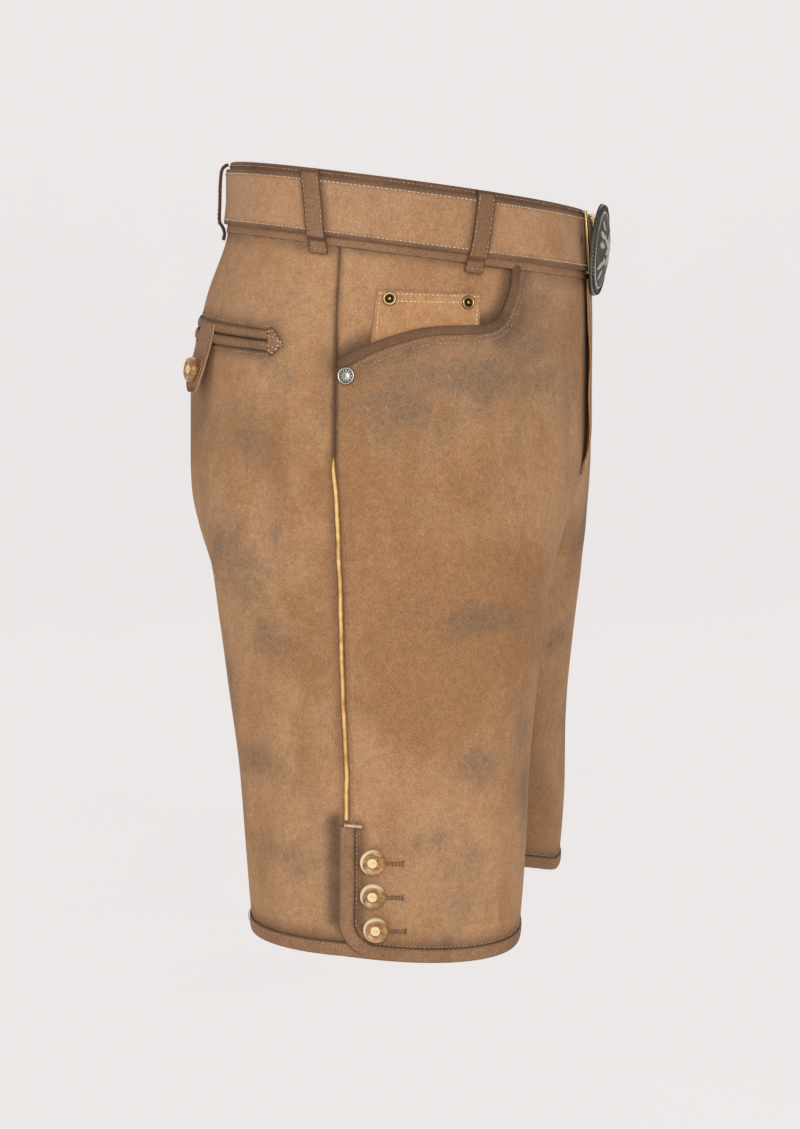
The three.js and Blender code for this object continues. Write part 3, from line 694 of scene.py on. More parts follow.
def smudge_and_shade_at(side, level, along):
    """How smudged the cloth is at places, with the painted shade below the pocket mouth."""
    total = np.zeros(np.shape(level))
    for own_side, spot, height, wide, tall, strength in SMUDGES_AND_SHADE:
        if own_side == side:
            away = ((along - spot) / wide) ** 2 + ((level - height) / tall) ** 2
            total = np.maximum(total, strength * np.exp(-0.8 * away))
    return total


print("shade lines:", len(SHADE_LINES), "smudges:", len(SMUDGES_AND_SHADE))

# %% [markdown]
# The legs are filled out, so the suede is nearly smooth: it swells a little between
# its seams, draws in along them, and has a few long soft folds, no two alike.

# %% Creases
# Each is its side, places of (along, level), half width, and rise: minus is a trough.
CREASES = [
    (-1, [(-9, -176), (-10, -250), (-8.5, -330), (-9, -412)], 3.6, -1.0),
    (-1, [(-16, -196), (-17.5, -262), (-15, -330), (-16.5, -384)], 4.2, 1.0),
    (-1, [(-44, -128), (-60, -190), (-66, -262), (-58, -330)], 15, -1.7),
    (-1, [(-92, -150), (-104, -230), (-100, -330), (-86, -430)], 18, 1.5),
    (-1, [(-30, -300), (-38, -372), (-34, -440), (-40, -500)], 12, -1.2),
    (-1, [(-78, -336), (-70, -410), (-74, -480)], 13, -1.5),
    (-1, [(-128, -150), (-140, -240), (-132, -340)], 15, -1.8),
    (-1, [(60, -128), (84, -190), (96, -280), (92, -360)], 26, 1.3),
    (-1, [(136, -60), (150, -110), (158, -170)], 12, -1.3),
    (-1, [(150, -300), (146, -380), (140, -470)], 22, -1.6),
    (-1, [(36, -250), (44, -330), (38, -410)], 16, -1.0),
    (-1, [(100, -420), (104, -460), (100, -504)], 16, -1.1),
    (-1, [(56, -470), (60, -500), (62, -518)], 12, 0.9),
    (-1, [(276, -196), (262, -216), (240, -240), (220, -270)], 8, -2.2),
    (-1, [(262, -176), (246, -190), (226, -206)], 6, -1.4),
    (-1, [(300, -218), (280, -242), (262, -280), (252, -330)], 9, 1.6),
    (-1, [(-236, -214), (-214, -238), (-190, -270)], 9, -2.2),
    (-1, [(-230, -190), (-204, -204), (-176, -226)], 7, -1.4),
    (1, [(-9, -180), (-10.5, -256), (-8.5, -340), (-9.5, -410)], 3.8, -1.0),
    (1, [(-17, -214), (-15.5, -280), (-17, -350)], 4.4, 0.9),
    (1, [(-50, -132), (-58, -210), (-70, -290)], 16, -1.8),
    (1, [(-96, -170), (-100, -260), (-90, -380)], 17, 1.4),
    (1, [(-40, -330), (-36, -410), (-44, -490)], 13, -1.3),
    (1, [(-126, -180), (-136, -270), (-128, -360)], 15, -1.6),
    (1, [(70, -136), (88, -210), (92, -310)], 24, 1.3),
    (1, [(134, -64), (152, -120), (150, -184)], 13, -1.2),
    (1, [(160, -280), (152, -360), (158, -460)], 20, -1.6),
    (1, [(40, -270), (50, -350), (44, -430)], 15, -1.0),
    (1, [(272, -190), (256, -214), (232, -236)], 8, -2.0),
    (1, [(292, -224), (276, -262), (266, -330)], 10, 1.7),
    (1, [(-232, -210), (-208, -236), (-186, -276)], 9, -2.0),
    (1, [(-226, -184), (-196, -202), (-170, -220)], 7, -1.3),
    (1, [(112, -400), (108, -450), (114, -508)], 16, -1.1),
]
SEAM_DRAW = 0.5


def rise_at(side, level, along):
    """How far the cloth rises from the skin at places, in mm."""
    rise = np.zeros(np.shape(level))
    for own_side, places, half_width, height in CREASES:
        if own_side != side:
            continue
        distance, share = nearest(level, along, bent(places))
        across = distance / half_width
        fade = np.sin(np.pi * np.clip(share, 0.02, 0.98)) ** 0.8
        rise += height * fade * (np.exp(-across ** 2) - 0.3 * np.exp(-((across - 1.9) / 0.8) ** 2))
    at_side = 1 - smooth(0, 7, np.abs(along))
    clear_of_hem = smooth(0, 26, level - HEM_LEVEL)
    clear_of_waist = smooth(0, 30, -24 - level)
    from_centre = np.minimum(skin.front_at(level) - along, along - skin.back_at(level))
    clear_of_centre = smooth(0, 22, from_centre)
    return (rise - SEAM_DRAW * at_side) * clear_of_hem * clear_of_waist * clear_of_centre


print("creases:", len(CREASES))

# %% [markdown]
# ## Pieces of cloth
#
# A piece is cut as a grid of places on the skin. Its outer face becomes a mesh, and
# Solidify gives it the thickness of the leather, inwards, with its cut edges in a
# paler material, as the raw edge of suede is. A closed solid could be built at once,
# but the modifier keeps the wall even where the cloth bends.

# %% From a grid of places to a piece
SUEDE = 1.8
LAP_GAP = 0.3
PANEL_GAP = 0.6
BAND = 1.1
cuts = {}


def new_piece(name, points, faces, materials, marks=None):
    """A mesh object with its materials and its marks, a number at each point."""
    piece = mesh_object(name, points, faces)
    for key in materials:
        piece.data.materials.append(MATERIALS[key])
    for mark, values in (marks or {}).items():
        attribute = piece.data.attributes.new(mark, "FLOAT", "POINT")
        attribute.data.foreach_set("value", np.asarray(values, np.float32).ravel())
    return piece


def grid_faces(rows, columns, flipped):
    faces = []
    for r in range(rows - 1):
        for c in range(columns - 1):
            face = (r * columns + c, r * columns + c + 1, (r + 1) * columns + c + 1, (r + 1) * columns + c)
            faces.append(face[::-1] if flipped else face)
    return faces


def grid_piece(name, points, outward, materials, marks=None):
    """A piece from rows of points, turned so that its faces look the outward way."""
    rows, columns = points.shape[:2]
    middle = (rows // 4 + 1, columns // 2)
    down = points[middle[0], middle[1]] - points[middle[0] - 1, middle[1]]
    along = points[middle[0], middle[1]] - points[middle[0], middle[1] - 1]
    flipped = float(np.dot(np.cross(along, down), outward[middle])) < 0
    return new_piece(name, points.reshape(-1, 3), grid_faces(rows, columns, flipped), materials, marks)


def thicken(piece, thickness, edge=0.0, raw=True):
    """Give a piece its wall, inwards, and soften its cut edges."""
    solid = piece.modifiers.new("wall", "SOLIDIFY")
    solid.thickness = thickness * MM
    solid.offset = -1
    solid.use_even_offset = True
    solid.material_offset_rim = 1 if raw else 0
    if edge:
        bevel = piece.modifiers.new("soft_edge", "BEVEL")
        bevel.width = edge * MM
        bevel.segments = 2
        bevel.limit_method = "ANGLE"
        bevel.angle_limit = math.radians(50)
    return piece


def pattern_size(name, level, along):
    """The cut's width, length and flat area in metres, from its places on the skin."""
    across = np.diff(along, axis=1)
    tall = -np.diff(level, axis=0)
    area = float(np.sum((across[:-1] + across[1:]) / 2 * (tall[:, :-1] + tall[:, 1:]) / 2))
    size = (float(np.ptp(along)) * MM, float(np.ptp(level)) * MM)
    cuts[name] = (*size, min(abs(area) * MM * MM, size[0] * size[1]))
    return size, cuts[name][2]


# Painted shade and smudged patches for a piece of the panels' cloth.
def shade_and_smudge_marks(side, level, along):
    from_front = skin.front_at(level) - along
    from_back = along - skin.back_at(level)
    return {"shade": nearness_shade(level, along, from_front, from_back),
            "smudge": smudge_and_shade_at(side, level, along)}


def cloth(name, side, level, along, out, materials, marks=None, half_gap=SEAM_GAP / 2):
    """A cloth piece on the skin. out is how far its outer face stands off, in mm."""
    level, along, out = np.broadcast_arrays(level, along, out)
    points = skin.place(side, level, along, out, half_gap)
    outward = skin.place(side, level, along, out + 1.0, half_gap) - points
    return grid_piece(name, points, outward, materials, marks or shade_and_smudge_marks(side, level, along))


SIDES = (("right", -1), ("left", 1))
print("ready to cut")

# %% [markdown]
# ## Front and back panels
#
# Two fronts and two backs make the garment. Each front's top edge is the pocket's
# mouth and then the waist, and its lower corner at the vent is rounded. Rows of
# places run from that shaped edge down to one level, and straight across below it.

# %% The panels
PANEL_TOP = -24 - SEAM_GAP
TUCKED_TOP = -20.0
UPPER_END = -150
PITCH = 3.6


def panel_levels():
    straight = np.arange(UPPER_END - PITCH, -486, -PITCH)
    return np.concatenate([straight, np.arange(-488, HEM_LEVEL, -1.8), [HEM_LEVEL]])


def panel_grid(columns, top, along_at):
    """Levels and alongs of a panel: its shaped top, then straight rows to the hem."""
    shares = np.linspace(0, 1, 36)[:, None]
    upper = mix(top[None, :], UPPER_END, shares)
    lower = np.repeat(panel_levels()[:, None], len(columns), axis=1)
    level = np.concatenate([upper, lower])
    along = along_at(np.broadcast_to(columns, level.shape), level)
    return level, along


front_columns = np.concatenate([np.linspace(0, 110, 34), np.linspace(110, MOUTH_END, 13)[1:],
                                MOUTH_END + np.linspace(0, 1, 62)[1:]])
back_columns = np.linspace(0, 1, 74)


def front_along(u, level):
    edge = SEAM_GAP / 2 + vent_edge(level, 0)
    far = skin.front_at(level)
    near = edge + u * (MOUTH_END - edge) / MOUTH_END
    return np.where(u <= MOUTH_END, near, mix(MOUTH_END, far, u - MOUTH_END))


def back_along(u, level):
    return mix(vent_edge(level, 0) - SEAM_GAP / 2, skin.back_at(level), u)


front_top = np.where(front_columns < MOUTH_END,
                     mouth_level(np.minimum(front_columns, MOUTH_END)), TUCKED_TOP)
back_top = np.full(len(back_columns), TUCKED_TOP)
pieces = {}
sheets = {}
sewn_on = {}


def keep(piece, slot, nodes, cut=None, rests_on=(), on=None):
    """Note which nodes a piece stands for and its slot; its cut, or what it is sewn on."""
    pieces[piece.name] = (piece, slot, nodes)
    if cut is not None:
        sheets[piece.name] = (cut[0], cut[1], rests_on)
    if on is not None:
        sewn_on.setdefault(on, []).append(piece)
    return piece


for side_name, side in SIDES:
    for part, columns, top, along_at in (("front", front_columns, front_top, front_along),
                                         ("back", back_columns, back_top, back_along)):
        name = f"{part}_panel_{side_name}"
        level, along = panel_grid(columns, top, along_at)
        panel = cloth(f"{part}_suede_{side_name}", side, level, along,
                      rise_at(side, level, along), ["suede", "raw_suede"], half_gap=SEAM_TOUCH)
        thicken(panel, SUEDE)
        keep(panel, "suede", [name], pattern_size(name, level, along), ["waistband_suede"])
print("panels:", len(pieces), "points in a front:", level.size)

# %% [markdown]
# ## Pocket facings and coin patch
#
# A facing fills the pocket's mouth. Where it runs beneath the front it lies a layer
# deeper, so the bound edge of the mouth stands proud. The coin patch lies on the
# right facing only, and its lower edge goes down into the pocket.

# %% Facings, coin patch and bindings of the mouth
FACING_UNDERLAP = 14
FACING_DEPTH = SUEDE + PANEL_GAP
COIN_PATCH = {"back": 27, "front": 101, "back_top": -53, "front_top": -47, "back_shift": -3}


def facing_depth(level, along):
    clear = np.minimum(level - mouth_level(np.minimum(along, 110)), (118 - along) * 0.8)
    return -mix(FACING_DEPTH, LAP_GAP, smooth(6, 34, clear))


def facing_marks(level, along):
    distance, _ = nearest(level, along, POCKET_MOUTH)
    # Painted shade under the mouth's binding, by the side seam and under the waistband.
    shade = 0.75 * (1 - smooth(2, 20, distance))
    shade = np.maximum(shade, 0.5 * (1 - smooth(0, 8, along)))
    shade = np.maximum(shade, 0.6 * (1 - smooth(0, 14, -24 - level)))
    return {"shade": shade, "smudge": np.zeros(np.shape(level))}


for side_name, side in SIDES:
    t, u = np.meshgrid(np.linspace(0, 1, 36), np.linspace(0, 1, 50), indexing="ij")
    along = mix(SEAM_GAP / 2, MOUTH_END + FACING_UNDERLAP, u)
    level = mix(TUCKED_TOP, mouth_level(np.minimum(along, 110)) - FACING_UNDERLAP, t)
    facing = cloth(f"pocket_facing_suede_{side_name}", side, level, along, facing_depth(level, along),
                   ["suede", "raw_suede"], facing_marks(level, along))
    thicken(facing, SUEDE)
    node = f"pocket_facing_{side_name}"
    keep(facing, "suede", [node], pattern_size(node, level, along), ["waistband_suede"])

t, u = np.meshgrid(np.linspace(0, 1, 16), np.linspace(0, 1, 34), indexing="ij")
along = mix(COIN_PATCH["back"], COIN_PATCH["front"], u) + COIN_PATCH["back_shift"] * t * (1 - u)
top = mix(COIN_PATCH["back_top"], COIN_PATCH["front_top"], u) - 0.8 * np.sin(np.pi * u)
level = mix(top, mouth_level(along) + 0.5, t)
lift = facing_depth(level, along) + PANEL_GAP + BAND + 0.5 * np.sin(np.pi * u) * (1 - t) ** 2
edge = np.minimum(np.minimum(u, 1 - u) * 74, t * 26)
# Painted shadow along the patch's edges.
patch_marks = {"shade": 0.4 * (1 - smooth(0, 5, edge)), "smudge": np.zeros(level.shape)}
coin_patch = cloth("coin_patch_suede", -1, level, along, lift, ["patch_suede", "raw_suede"], patch_marks)
thicken(coin_patch, BAND, 0.25)
keep(coin_patch, "patch", ["coin_patch"], pattern_size("coin_patch", level, along),
     ["pocket_facing_suede_right"])


def strip_places(line, section):
    """Places of a strip that follows a line of (along, level).

    section is rows of (offset, out): how far above or ahead of the line, and off the skin.
    """
    line = np.asarray(line, float)
    run = np.gradient(line, axis=0)
    run /= np.linalg.norm(run, axis=1, keepdims=True)
    offset = np.asarray([row[0] for row in section], float)
    out = np.asarray([row[1] for row in section], float)
    along = line[:, :1] - run[:, 1:] * offset
    level = line[:, 1:] + run[:, :1] * offset
    return level, along, np.broadcast_to(out, level.shape)


def even_line(line, pitch):
    """The same line with its places a pitch apart."""
    line = np.asarray(line, float)
    travelled = np.concatenate([[0], np.cumsum(np.linalg.norm(np.diff(line, axis=0), axis=1))])
    at = np.linspace(0, travelled[-1], max(3, int(travelled[-1] / pitch) + 1))
    return np.stack([np.interp(at, travelled, line[:, axis]) for axis in range(2)], axis=1)


mouth_alongs = np.concatenate([np.linspace(1, 110, 60), np.linspace(110, 126.9, 40)[1:]])
mouth_line = even_line(np.stack([mouth_alongs, mouth_level(mouth_alongs)], axis=1), 2.5)
mouth_line[-1, 1] = PANEL_TOP
MOUTH_ROLL = [(0.2, -1.5), (0.7, -0.4), (0.6, 0.9), (-0.4, 1.7), (-2.0, 2.0), (-3.6, 1.9),
              (-5.0, 1.7), (-5.7, 1.3), (-6.1, 0.6)]
for side_name, side in SIDES:
    level, along, out = strip_places(mouth_line, MOUTH_ROLL)
    level = np.minimum(level, PANEL_TOP)
    binding = cloth(f"pocket_binding_leather_{side_name}", side, level, along, out, ["binding_suede"])
    thicken(binding, 0.7, raw=False)
    node = f"pocket_binding_{side_name}"
    keep(binding, "binding", [node], on=f"front_suede_{side_name}")
print("pieces:", len(pieces))

# %% [markdown]
# ## Waistband, belt and loops
#
# The waistband is a doubled strip of darker suede. The belt is one strap 40 mm wide,
# with its face and edges of one thick leather, which shows pale where it is cut. It
# swells and sinks a little between the loops. Each loop is a folded strip, sewn down
# above and below the belt, and leans back as it goes down.

# %% Waistband and belt
# The band's section, from its lower edge outside, over the top and down the inside.
WAISTBAND = [(-26.8, 0.95), (-26.2, 1.3), (-22, 1.35), (-12, 1.3), (0, 1.2), (12, 1.2), (20, 1.2),
             (22.8, 1.1), (23.8, 0.5), (24.2, -0.7), (23.8, -1.9), (22.8, -2.5), (12, -2.7), (0, -2.8),
             (-12, -2.8), (-24, -2.8)]
BAND_LEATHER = 0.8
BELT = {"top": 19.0, "bottom": -21.0, "outer": 4.8, "thickness": 3.3}
LOOP = {"width": 13.0, "thickness": 2.0}
# Each pair's distance along at a level of 10, how far it stands off the belt, and its lean.
LOOPS = {"front": (98, 0.0, 0.12), "side": (-20, 0.0, -0.12), "back": (-148, 2.4, 0.0)}
BELT_HOLE = {"side": -1, "short_of_front": 34.0, "level": 0.5, "radius": 1.8}


def round_waist(level, turn, out):
    """Places all round the waist: turn is 0 at the back's middle and 1 at the front's."""
    side = np.where(turn < 0, -1.0, 1.0)
    along = mix(skin.back_at(level), skin.front_at(level), np.abs(turn))
    return along, side, skin.place(side, level, along, out, 0)


def waist_piece(name, section, turns, wave, materials, marks):
    """A strap round the waist from a section of (level, out) and its unevenness."""
    level = np.repeat(np.array([row[0] for row in section])[:, None], len(turns), axis=1)
    out = np.repeat(np.array([row[1] for row in section])[:, None], len(turns), axis=1)
    turn = np.broadcast_to(turns, level.shape)
    along, side, _ = round_waist(level, turn, out)
    out = out + wave(level, side, along)
    points = round_waist(level, turn, out)[2]
    outward = round_waist(level, turn, out + 1)[2] - points
    return grid_piece(name, points, outward, materials, marks(level, side, along))


def from_loop(level, along, loop):
    """How far places are from a loop's middle line."""
    spot, _, lean = LOOPS[loop]
    return along - spot + lean * (10 - level)


def belt_wave(level, side, along):
    """The belt bears out under nothing, is pressed in by loops and buckles a little."""
    wave = np.zeros(level.shape)
    for loop in LOOPS:
        wave -= 0.45 * np.exp(-(from_loop(level, along, loop) / 12) ** 2)
    slow = np.sin(along * 0.052 + side * 1.3) + 0.6 * np.sin(along * 0.117 + side * 2.1)
    edge_roll = 0.45 * (np.abs(level + 1) / 20) ** 4
    return wave + 0.32 * slow * np.cos(level * 0.07) - edge_roll


def belt_marks(level, side, along):
    to_edge = np.minimum(BELT["top"] - level, level - BELT["bottom"])
    # Painted shade beside each loop, towards the buckle and in the hole, which is not cut; the belt is also
    # darker towards its edges.
    shade = 0.85 * (1 - smooth(0.5, 7, to_edge))
    for loop in LOOPS:
        away = np.abs(from_loop(level, along, loop)) - LOOP["width"] / 2
        shade = np.maximum(shade, 0.55 * (1 - smooth(0, 9, away)))
    shade = np.maximum(shade, 0.5 * smooth(0, 1, (along - skin.front_at(level) + 70) / 60))
    hole_at = skin.front_at(level) - BELT_HOLE["short_of_front"]
    from_hole = np.hypot(along - hole_at, level - BELT_HOLE["level"])
    shade = np.maximum(shade, (1 - smooth(2, 5, from_hole)) * (side == BELT_HOLE["side"]))
    smudge = 0.45 * np.exp(-((along - 20) / 30) ** 2) + 0.6 * np.exp(-((along + 150) / 18) ** 2)
    return {"shade": shade, "smudge": smudge}


def band_marks(level, side, along):
    # Painted shade over the band, most just above the belt.
    return {"shade": 0.25 + 0.4 * np.exp(-((level - 22) / 4) ** 2), "smudge": np.zeros(level.shape)}


band = waist_piece("waistband_suede", WAISTBAND, np.linspace(-0.9995, 0.9995, 320),
                   lambda level, side, along: 0.15 * np.sin(along * 0.09), ["binding_suede"], band_marks)
thicken(band, BAND_LEATHER, raw=False)
keep(band, "suede", ["waistband"], ((0.102, 0.945), None))

belt_section = [(level, BELT["outer"]) for level in np.linspace(BELT["top"], BELT["bottom"], 19)]
belt = waist_piece("belt_strap", belt_section, np.linspace(-0.985, 0.985, 420), belt_wave,
                   ["belt_suede", "raw_suede"], belt_marks)
thicken(belt, BELT["thickness"], 0.5)
keep(belt, "suede", ["belt"], ((0.04, 0.96), None), ["waistband_suede"])


# %% Belt loops
LOOP_LINE = [(23.6, 0.6), (23.4, 1.7), (22.4, 3.0), (20.8, 4.4), (17.5, 5.2), (8, 5.3), (-8, 5.3),
             (-18, 5.2), (-21.4, 4.5), (-23.4, 3.0), (-25.6, 1.9), (-28, 1.6), (-33, 1.5)]


def loop_rows():
    """The loop's line as a smooth run of levels and stand-offs."""
    line = bent(LOOP_LINE, 60)
    return line[:, 0], line[:, 1]


def loop_grid(loop):
    """A loop's levels, alongs and stand-offs, and how far across it each place is."""
    spot, stand_off, lean = LOOPS[loop]
    levels, outs = loop_rows()
    u = np.linspace(-0.5, 0.5, 11)
    level = np.repeat(levels[:, None], len(u), axis=1)
    out = np.repeat(outs[:, None], len(u), axis=1) + LOOP["thickness"]
    out = out + stand_off * np.sin(np.pi * np.clip((24 - level) / 52, 0, 1)) ** 0.6
    out = out - 0.35 * (np.abs(u) * 2) ** 6
    spread = 1 + 0.05 * smooth(-22, -33, level)
    return level, spot - lean * (10 - level) + u * LOOP["width"] * spread, out, u


def loop_marks(level, u):
    # Painted shade at the loop's sides, at its fold over the belt and at its foot.
    shade = 0.35 + 0.5 * (np.abs(np.broadcast_to(u, level.shape)) * 2) ** 8
    shade = np.maximum(shade, 0.8 * np.exp(-((level + 24) / 2.6) ** 2))
    shade = np.maximum(shade, 0.7 * np.exp(-((level - 21.6) / 2) ** 2))
    return {"shade": shade, "smudge": np.zeros(level.shape)}


for side_name, side in SIDES:
    for which in LOOPS:
        level, along, out, u = loop_grid(which)
        loop = cloth(f"belt_loop_leather_{which}_{side_name}", side, level, along, out,
                     ["binding_suede", "binding_suede"], loop_marks(level, u))
        thicken(loop, LOOP["thickness"], 0.5)
        keep(loop, "binding", [f"belt_loop_{which}_{side_name}"], ((0.013, 0.066), None), ["belt_strap"])
print("pieces:", len(pieces))

# %% [markdown]
# ## Fly, piping, vents and hems
#
# The fly is a lap of the left front over the right. The side seam is piped: a cord
# in smooth leather, proud of the seam. Below the piping the seam is open as a vent.
# Its front edge has a padded roll of darker suede, which rounds the lower corner and
# goes on along the hem. The back hem has the same binding, cut off at the vent.

# %% Fly lap
FLY = {"clear": 1.1, "free": -20, "sewn": 22, "bottom": -192, "curve_from": -150,
       "stand_off": 3.2, "top_stand_off": 1.6}

t, u = np.meshgrid(np.linspace(0, 1, 60), np.linspace(0, 1, 22), indexing="ij")
level = mix(PANEL_TOP - 2.8, FLY["bottom"], t)
closing = smooth(FLY["curve_from"], FLY["bottom"], level) ** 2
free = mix(FLY["free"], -4, closing)
across = mix(free, mix(FLY["sewn"], 2, closing), u)
stand_off = mix(FLY["stand_off"], FLY["top_stand_off"], smooth(-85, -50, level))
lifted = stand_off * smooth(0, 1, across / FLY["free"]) ** 1.5
ripple = 0.5 * np.sin(level * 0.11) * smooth(0.3, 0, u) * smooth(-40, -80, level)
wall = mix(SUEDE, 0.8, smooth(0.55, 1, u))
out = FLY["clear"] + lifted + wall + ripple
side = np.where(across < 0, -1.0, 1.0)
fly_along = skin.front_at(level) - np.abs(across)
points = skin.place(side, level, fly_along, out, 0)
outward = skin.place(side, level, fly_along, out + 1, 0) - points
# Painted shadow along the lap's free edge and painted shade where it is sewn; the smudge mark makes it darker
# towards its lower end.
fly_shade = np.maximum(0.8 * (1 - smooth(0, 10, across - free)), 0.5 * smooth(0.7, 1, u))
fly = grid_piece("fly_lap_suede", points, outward, ["suede", "raw_suede"],
                 {"shade": fly_shade, "smudge": 0.4 * smooth(0.6, 1, t)})
thicken(fly, 1.2, 0.3)
keep(fly, "suede", ["fly_lap"], ((0.042, 0.168), 0.0062), ["front_suede_left"])

# %% Piping
PIPING = {"top": -170, "bottom": -422, "width": 3.0, "height": 1.9}


def piping_section(count=9):
    """A half-round cord on the seam: offsets across it, and heights."""
    turn = np.linspace(math.radians(200), math.radians(-20), count)
    return np.cos(turn) * PIPING["width"] / 2, 0.75 + np.sin(turn) * (PIPING["height"] - 0.55)


offsets, heights = piping_section()
piping_levels = np.linspace(PIPING["top"], PIPING["bottom"], 110)
taper = np.minimum(1, 0.35 + (PIPING["top"] - piping_levels) / 12)[:, None]
wobble = (0.28 * np.sin(piping_levels * 0.047) + 0.12 * np.sin(piping_levels * 0.19))[:, None]
for side_name, side in SIDES:
    along = offsets[None, :] * taper + wobble
    level = np.broadcast_to(piping_levels[:, None], along.shape)
    out = heights[None, :] * taper + LAP_GAP + 0.1 * np.sin(level * 0.31)
    # Painted shade on the cord's sides.
    pipe = cloth(f"piping_cord_{side_name}", side, level, along, out, ["piping"],
                 {"shade": 0.8 * (np.abs(offsets[None, :]) / 1.5) ** 3 + 0 * level})
    thicken(pipe, 0.5, raw=False)
    keep(pipe, "piping", [f"side_piping_{side_name}"], on=f"front_suede_{side_name}")

# %% Vent and hem bindings
VENT_TOP = -427
VENT_WIDTH = 11.0
HEM_BAND = 10.0


def vent_line():
    """Down the vent's front edge, round its corner and along the hem."""
    overlap = VENT_OVERLAP
    radius = VENT_CORNER["radius"] + overlap
    down = [(-overlap, level) for level in np.linspace(VENT_TOP, VENT_CORNER["level"], 24)[:-1]]
    turns = np.linspace(0, math.pi / 2, 22)
    round_corner = [(float(vent_edge(VENT_CORNER["level"] - radius * math.sin(a), overlap)),
                     VENT_CORNER["level"] - radius * math.sin(a)) for a in turns]
    hem = [(along, HEM_LEVEL) for along in
           np.linspace(VENT_CORNER["along"] + 4, float(skin.front_at(HEM_LEVEL)) - 0.2, 96)]
    return np.array(down + round_corner + hem)


def padded_section(width, height, roll):
    """A binding's section: it starts behind the edge, rolls round it and lies down."""
    u = np.array([0, 0, 0.06, 0.2, 0.38, 0.56, 0.74, 0.88, 1.0])
    offset = np.array([0, -0.25, -0.3, 0.2, 0.38, 0.56, 0.74, 0.88, 1.0])
    offset[:4] = (0.3, -0.5, -0.3, 0.16 * width)
    offset[4:] = u[4:] * width
    out = np.array([-1.6, -0.4, 0.9, 1.0 + 0.6 * roll, 1 + roll, 1 + 0.95 * roll, 1 + 0.6 * roll, 1.2, 0.7])
    return list(zip(offset, out * height))


def band_shade(rows, columns, dark_edge):
    u = np.broadcast_to(np.linspace(0, 1, columns)[None, :], (rows, columns))
    # Painted shade along both edges of the band.
    shade = 0.2 + 0.6 * smooth(0.3, 0, u) + dark_edge * smooth(0.8, 1, u)
    return {"shade": shade, "smudge": np.zeros((rows, columns))}


for side_name, side in SIDES:
    line = vent_line()
    level, along, out = strip_places(line, padded_section(VENT_WIDTH, 1.1, 0.9))
    share = smooth(0.2, 0.4, np.linspace(0, 1, len(line)))[:, None]
    flat_level, flat_along, flat_out = strip_places(line, padded_section(HEM_BAND, 1.0, 0.45))
    level, along, out = (mix(a, b, share) for a, b in ((level, flat_level), (along, flat_along), (out, flat_out)))
    level = np.minimum(level, VENT_TOP)
    band = cloth(f"vent_and_hem_leather_{side_name}", side, level, along, out, ["binding_suede"],
                 band_shade(*level.shape, 0.7))
    thicken(band, 0.7, raw=False)
    keep(band, "binding", [f"vent_and_hem_band_{side_name}"], on=f"front_suede_{side_name}")

    hem_shares = np.linspace(0, 1, 80)
    rows = []
    for offset, rise in padded_section(HEM_BAND, 1.0, 0.45):
        band_level = np.full(len(hem_shares), HEM_LEVEL + offset)
        start = vent_edge(band_level, VENT_OVERLAP) - LAP_GAP - 0.4
        rows.append((band_level, mix(start, skin.back_at(band_level) + 0.2, hem_shares), np.full(80, rise)))
    level, along, out = (np.stack(grid, axis=1) for grid in zip(*rows))
    band = cloth(f"back_hem_leather_{side_name}", side, level, along, out, ["binding_suede"],
                 band_shade(*level.shape, 0.7))
    thicken(band, 0.7, raw=False)
    keep(band, "binding", [f"back_hem_band_{side_name}"], on=f"back_suede_{side_name}")
print("pieces:", len(pieces))

# %% [markdown]
# ## Back pockets
#
# Each back pocket is a slit between two welts, closed at its ends by a stitched-down
# leaf of leather. A tab hangs from the upper welt and buttons over the lower one. Its
# pointed end stands off the cloth, so its cut edge shows.

# %% Welts, end leaves and tabs
BACK_POCKET = {"side_end": -52.0, "back_end": -196.0, "level": -86.5, "rise": 0.0315,
               "welt": 6.8, "leaf": 13.0}
TAB = {"along": -124.0, "width": 26.0, "length": 42.0, "stand_off": 7.0}


def pocket_level(along):
    return BACK_POCKET["level"] + BACK_POCKET["rise"] * (BACK_POCKET["side_end"] - along)


def tab_stand_off(t):
    return LAP_GAP + BAND + LAP_GAP + TAB["stand_off"] * smooth(0, 1, t) ** 1.2


def tab_level(t):
    return pocket_level(TAB["along"]) - 2.5 - TAB["length"] * t


def tab_half_width(t):
    end = np.sqrt(np.maximum(0, 1 - ((np.maximum(t, 0.6) - 0.6) / 0.44) ** 2))
    return TAB["width"] / 2 * np.where(t < 0.6, 1.0, end)


def welt_grid(row):
    t, u = np.meshgrid(np.linspace(0, 1, 9), np.linspace(0, 1, 50), indexing="ij")
    along = mix(BACK_POCKET["side_end"], BACK_POCKET["back_end"], u)
    edge = pocket_level(along) - row * (BACK_POCKET["welt"] + LAP_GAP)
    swell = 0.9 * np.sin(np.pi * np.clip(t, 0.05, 0.95)) + 0.12 * np.sin(along * 0.2)
    out = LAP_GAP + 0.75 + swell - 0.5 * (t == 0) - 0.5 * (t == 1)
    return edge - BACK_POCKET["welt"] * t, along, out, t


def leaf_grid(end, direction):
    """The leaf widens from the welts and then runs to a point, a little downwards."""
    t, u = np.meshgrid(np.linspace(0, 1, 18), np.linspace(-1, 1, 11), indexing="ij")
    deep = 2 * BACK_POCKET["welt"] + LAP_GAP
    half = (deep / 2 + 2.5 * smooth(0, 0.18, t)) * (1 - 0.92 * smooth(0.15, 1.0, t) ** 0.9)
    centre = pocket_level(end) - deep / 2 - 2 * t
    along = end + direction * (LAP_GAP + BACK_POCKET["leaf"] * t)
    out = LAP_GAP + BAND * (1 - 0.35 * u ** 4) + 0.25 * (1 - np.abs(u))
    return centre - half * u, along, out, u


